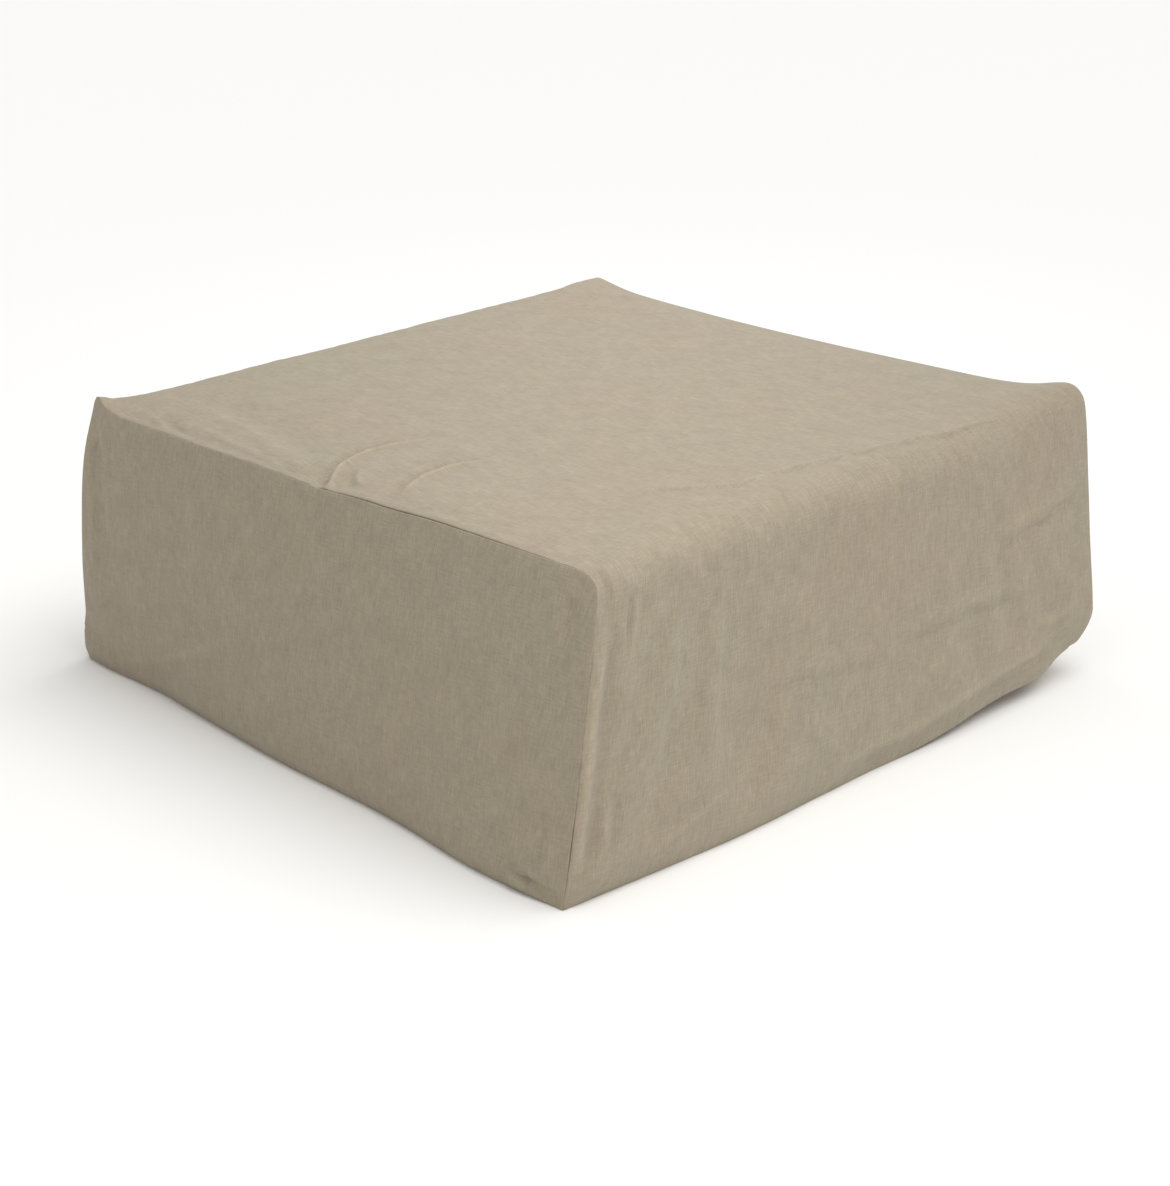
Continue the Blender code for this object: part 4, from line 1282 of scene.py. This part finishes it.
coil = coilTree()
for side, sign in (("upper", 1), ("lower", -1)):
    low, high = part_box("zip_coil_" + side)
    near, far = zipMiddle + sign * zipSizes["trackHalf"], float(high[2] if sign > 0 else low[2])
    length = float(high[0] - low[0]) - 0.0012
    halfWide = abs(far - near) / 2 - zipSizes["wire"]
    halfDeep = float(high[1] - low[1]) / 2 - zipSizes["wire"]
    place = (-length / 2 + (0.0 if sign > 0 else zipSizes["pitch"] / 2) - zipSizes["pitch"] / 4,
             float(high[1] + low[1]) / 2, (near + far) / 2)
    row = grown("zip_coil_filament_" + side, coil,
                {"Length": length, "Pitch": zipSizes["pitch"], "Wire": zipSizes["wire"], "Half Width": halfWide,
                 "Half Depth": halfDeep, "Place": place, "Turned": sign > 0})
    row.data.polygons.foreach_set("use_smooth", [True] * len(row.data.polygons))
    declare(row, "cushion", "zip_coil_" + side)
    print("coil", side, len(row.data.polygons))


def stitchTree():
    # short threads laid end to end along a path, each dipping into the cloth at its ends
    tree, given, result = nodeTree("topStitch", {"Pitch": "NodeSocketFloat", "Length": "NodeSocketFloat",
                                                 "Width": "NodeSocketFloat"})
    path = addNode(tree, "GeometryNodeMeshToCurve", {"Mesh": given.outputs["Geometry"]})
    spots = addNode(tree, "GeometryNodeCurveToPoints",
                    {"Curve": path.outputs["Curve"], "Length": given.outputs["Pitch"]}, mode="LENGTH")
    bead = addNode(tree, "GeometryNodeMeshUVSphere", {}, {"Segments": 8, "Rings": 5, "Radius": 0.5})
    size = addNode(tree, "ShaderNodeCombineXYZ", {"X": given.outputs["Width"], "Y": given.outputs["Width"],
                                                  "Z": given.outputs["Length"]})
    laid = addNode(tree, "GeometryNodeInstanceOnPoints",
                   {"Points": spots.outputs["Points"], "Instance": bead.outputs["Mesh"],
                    "Rotation": spots.outputs["Rotation"], "Scale": size.outputs[0]})
    plain = addNode(tree, "GeometryNodeRealizeInstances", {"Geometry": laid.outputs["Instances"]})
    smooth = addNode(tree, "GeometryNodeSetShadeSmooth", {"Geometry": plain.outputs["Geometry"]})
    dressed = addNode(tree, "GeometryNodeSetMaterial", {"Geometry": smooth.outputs["Geometry"]},
                      {"Material": thread})
    tree.links.new(dressed.outputs["Geometry"], result.inputs["Geometry"])
    return tree


def rearLine(grid, height):
    # the rear face of a panel at that height, as a path just proud of the cloth
    rows = np.arange(grid.shape[0])
    path = []
    for j in range(2, grid.shape[1] - 2):
        column = grid[:, j]
        back = column[:, 1] > 0.40
        k = rows[back][np.argsort(np.abs(column[back, 2] - height))[:2]]
        path.append((column[k].mean(0)[0], column[k, 1].mean() + zipSizes["stitchWidth"] * 0.12, height))
    return sorted(path)


stitch = stitchTree()
for name, grid, height in (("topstitch_above_zip", wrap, zipHigh + zipSizes["stitchOff"]),
                           ("topstitch_below_zip", base, zipLow - zipSizes["stitchOff"])):
    path = rearLine(grid, height)
    row = grown(name, stitch,
                {"Pitch": zipSizes["stitchPitch"], "Length": zipSizes["stitchLength"],
                 "Width": zipSizes["stitchWidth"]}, path, [(k, k + 1) for k in range(len(path) - 1)])
    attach(row, "cushion")
    print(name, len(row.data.polygons))


def castPiece(name, parts, node, body):
    # joins closed shells of metal, each an outline in X and Z with a depth in Y, with rounded rims
    whole = bmesh.new()
    for outline, low, high, rim in parts:
        shell = bmesh.new()
        front = [shell.verts.new((x, high, z)) for x, z in outline]
        behind = [shell.verts.new((x, low, z)) for x, z in outline]
        count = len(outline)
        shell.faces.new(front)
        shell.faces.new(behind[::-1])
        for k in range(count):
            shell.faces.new((front[k], front[(k + 1) % count], behind[(k + 1) % count], behind[k])[::-1])
        bmesh.ops.recalc_face_normals(shell, faces=shell.faces)
        if rim:
            rims = [e for e in shell.edges if len({v in front for v in e.verts}) == 1]
            bmesh.ops.bevel(shell, geom=rims, offset=rim, segments=3, profile=0.5, affect="EDGES",
                            clamp_overlap=True)
        part = bpy.data.meshes.new("part")
        shell.to_mesh(part)
        whole.from_mesh(part)
        shell.free()
    bmesh.ops.triangulate(whole, faces=[f for f in whole.faces if len(f.verts) > 4])
    mesh = bpy.data.meshes.new(name)
    whole.to_mesh(mesh)
    whole.free()
    mesh.materials.append(nickel)
    declare(placed(name, mesh), body, node)


def pill(centreX, centreZ, halfX, halfZ, radius, steps=5):
    # a rectangle with round corners, counter-clockwise
    line = []
    for signX, signZ, start in ((1, 1, 0), (-1, 1, 90), (-1, -1, 180), (1, -1, 270)):
        for k in range(steps + 1):
            a = math.radians(start + 90 * k / steps)
            line.append((centreX + signX * (halfX - radius) + radius * math.cos(a),
                         centreZ + signZ * (halfZ - radius) + radius * math.sin(a)))
    return line


# stops: a crimp across both rows at the closed end, and one on each row at the open end
low, high = (np.array(p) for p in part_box("zip_stop_closed_end"))
middle, half = (low + high) / 2, (high - low) / 2
castPiece("zip_stop_crimp", [
    (pill(middle[0], middle[2], half[0], half[2], 0.0006), low[1], high[1] - 0.0003, 0.0003)] + [
    (pill(middle[0], middle[2] + sign * half[2] * 0.55, half[0] * 0.8, half[2] * 0.32, 0.0005),
     low[1] + 0.0004, high[1], 0.0002) for sign in (1, -1)], "zip_stop_closed_end", "cushion")
low, high = (np.array(p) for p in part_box("zip_stop_open_end"))
middle, half = (low + high) / 2, (high - low) / 2
castPiece("zip_stops_open", [
    (pill(middle[0], middle[2] + sign * half[2] * 0.56, half[0], half[2] * 0.42, 0.0007),
     low[1], high[1], 0.0004) for sign in (1, -1)], "zip_stop_open_end", "cushion")

# slider: a shield-shaped plate with turned-down flanges over a like plate, joined by the post, and a bridge
slider = {
    "noseWidth": 0.62, "rim": 0.0004, "plate": 0.0012, "flange": 0.0010, "post": 0.0008,
    "gap": 0.0003,  # over and under the coils, and behind the tape
    "coilDepth": 0.0022,
    "bridgeHalf": 0.004, "bridgeBar": 0.0010, "bridgeWide": 0.0012,
    "overlap": 0.0002,  # how far the post runs into the plates
}
low, high = (np.array(p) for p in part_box("zip_slider"))
middle, half = (low + high) / 2, (high - low) / 2
bridgeTop = high[1]
plateFace = tapeFace + slider["gap"] + slider["coilDepth"] + slider["gap"] + slider["plate"]
plateBack = plateFace - slider["plate"]
tapeBack = tapeFace - zipSizes["tapeCloth"] - slider["gap"]


def shield(scale):
    # wide shoulders towards the closed end, and a narrower tail towards the open end
    line = []
    for k in range(40):
        a = 2 * math.pi * k / 40
        c, s = math.cos(a), math.sin(a)
        x = math.copysign(abs(c) ** 0.45, c)
        z = math.copysign(abs(s) ** 0.45, s)
        narrow = 1 - (1 - slider["noseWidth"] * 1.25) * max(0.0, -x) ** 2
        line.append((middle[0] + half[0] * scale * x, middle[2] + half[2] * scale * z * narrow))
    return line


def arm(side):
    zIn, zOut = half[2] - slider["flange"], half[2]
    reach = half[0] * 0.80
    zs = sorted((side * zIn, side * zOut))
    return [(middle[0] - reach * 0.55, middle[2] + zs[0]), (middle[0] + reach, middle[2] + zs[0]),
            (middle[0] + reach, middle[2] + zs[1]), (middle[0] - reach * 0.55, middle[2] + zs[1])]


bridgeHalf, bar, overlap = slider["bridgeHalf"], slider["bridgeBar"], slider["overlap"]
armLow, armHigh = tapeFace + slider["gap"], plateBack + slider["gap"]
legLow, legHigh = plateFace - 2 * overlap, bridgeTop - overlap
castPiece("zip_slider_body", [
    (shield(0.995), plateBack, plateFace, slider["rim"]),
    (shield(0.97), low[1], tapeBack, slider["rim"]),
    (pill(middle[0] + half[0] * 0.15, middle[2], half[0] * 0.5, slider["post"] / 2, 0.0003),
     tapeBack - overlap, plateBack + overlap, 0),
    (arm(1), armLow, armHigh, 0.0002),
    (arm(-1), armLow, armHigh, 0.0002),
    (pill(middle[0] - bridgeHalf + bar / 2, middle[2], bar / 2, slider["bridgeWide"], 0.0003), legLow, legHigh,
     0.0002),
    (pill(middle[0] + bridgeHalf - bar / 2, middle[2], bar / 2, slider["bridgeWide"], 0.0003), legLow, legHigh,
     0.0002),
    (pill(middle[0], middle[2], bridgeHalf, slider["bridgeWide"], 0.0009), bridgeTop - bar, bridgeTop, 0.0003),
], "zip_slider", "slider")

# pull: a long tab with a window for the bridge, a waist, and a thumb hole near its end
low, high = (np.array(p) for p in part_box("zip_pull_tab"))
middle, half = (low + high) / 2, (high - low) / 2
windowHalf, windowLong, bar = 0.0016, 0.0075, 0.0010
windowX = high[0] - bar - windowLong / 2


def ringPiece(name, outer, holes, low, high, node, body):
    # a flat plate with holes: outline, holes and depth, filled and given soft rims
    curve = bpy.data.curves.new(name, "CURVE")
    curve.dimensions, curve.fill_mode = "2D", "BOTH"
    rim = 0.00022
    curve.extrude, curve.bevel_depth = (high - low) / 2 - rim, rim
    curve.bevel_resolution, curve.offset = 2, -rim
    for line in [outer] + holes:
        spline = curve.splines.new("POLY")
        spline.points.add(len(line) - 1)
        spline.points.foreach_set("co", np.column_stack([np.array(line), np.zeros((len(line), 1)),
                                                         np.ones((len(line), 1))]).ravel())
        spline.use_cyclic_u = True
    drawn = placed(name + ".drawn", curve)
    mesh = bpy.data.meshes.new_from_object(drawn.evaluated_get(bpy.context.evaluated_depsgraph_get()))
    bpy.data.objects.remove(drawn, do_unlink=True)
    form = bmesh.new()
    form.from_mesh(mesh)
    bmesh.ops.remove_doubles(form, verts=form.verts, dist=1e-6)
    for vert in form.verts:
        vert.co = (vert.co.x, (low + high) / 2 - vert.co.z, vert.co.y)  # drawn flat, then stood up
    bmesh.ops.recalc_face_normals(form, faces=form.faces)
    form.to_mesh(mesh)
    form.free()
    mesh.materials.clear()
    mesh.materials.append(nickel)
    mesh.name = name
    declare(placed(name, mesh), body, node)


outline = []
for k in range(64):
    a = 2 * math.pi * k / 64
    c, s = math.cos(a), math.sin(a)
    x, z = math.copysign(abs(c) ** 0.5, c), math.copysign(abs(s) ** 0.5, s)
    waist = 1 - 0.20 * math.exp(-((x - 0.10) / 0.30) ** 2)
    outline.append((middle[0] + half[0] * x, middle[2] + half[2] * z * waist))
ringPiece("zip_pull_plate", outline,
          [pill(windowX, middle[2], windowLong / 2, windowHalf, 0.0009),
           pill(low[0] + 0.0052, middle[2], 0.0026, 0.0016, 0.0015)], low[1], high[1], "zip_pull_tab", "pull")
print("zip")

# Care label: a blank ribbon folded into the seam, inside the cover
ribbon = {"fromSeam": 0.0028, "wave": 0.0006, "thickness": 0.0003}
labelLow, labelHigh = (np.array(p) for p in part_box("care_label"))
y, z = np.meshgrid(np.linspace(labelHigh[1], labelLow[1], 18), np.linspace(labelLow[2], labelHigh[2], 22))
x = np.full(y.shape, labelLow[0] + ribbon["fromSeam"])
x = x + ribbon["wave"] * np.sin((z - labelLow[2]) * 90) * np.cos((y - labelLow[1]) * 60)
grid = settle(np.stack([x, y, z], -1).reshape(-1, 3)).reshape(z.shape + (3,))
label = closedSheet("care_label_satin", grid, ribbon["thickness"], satin, y, z)
declare(label, "cushion", "care_label")
print("label")
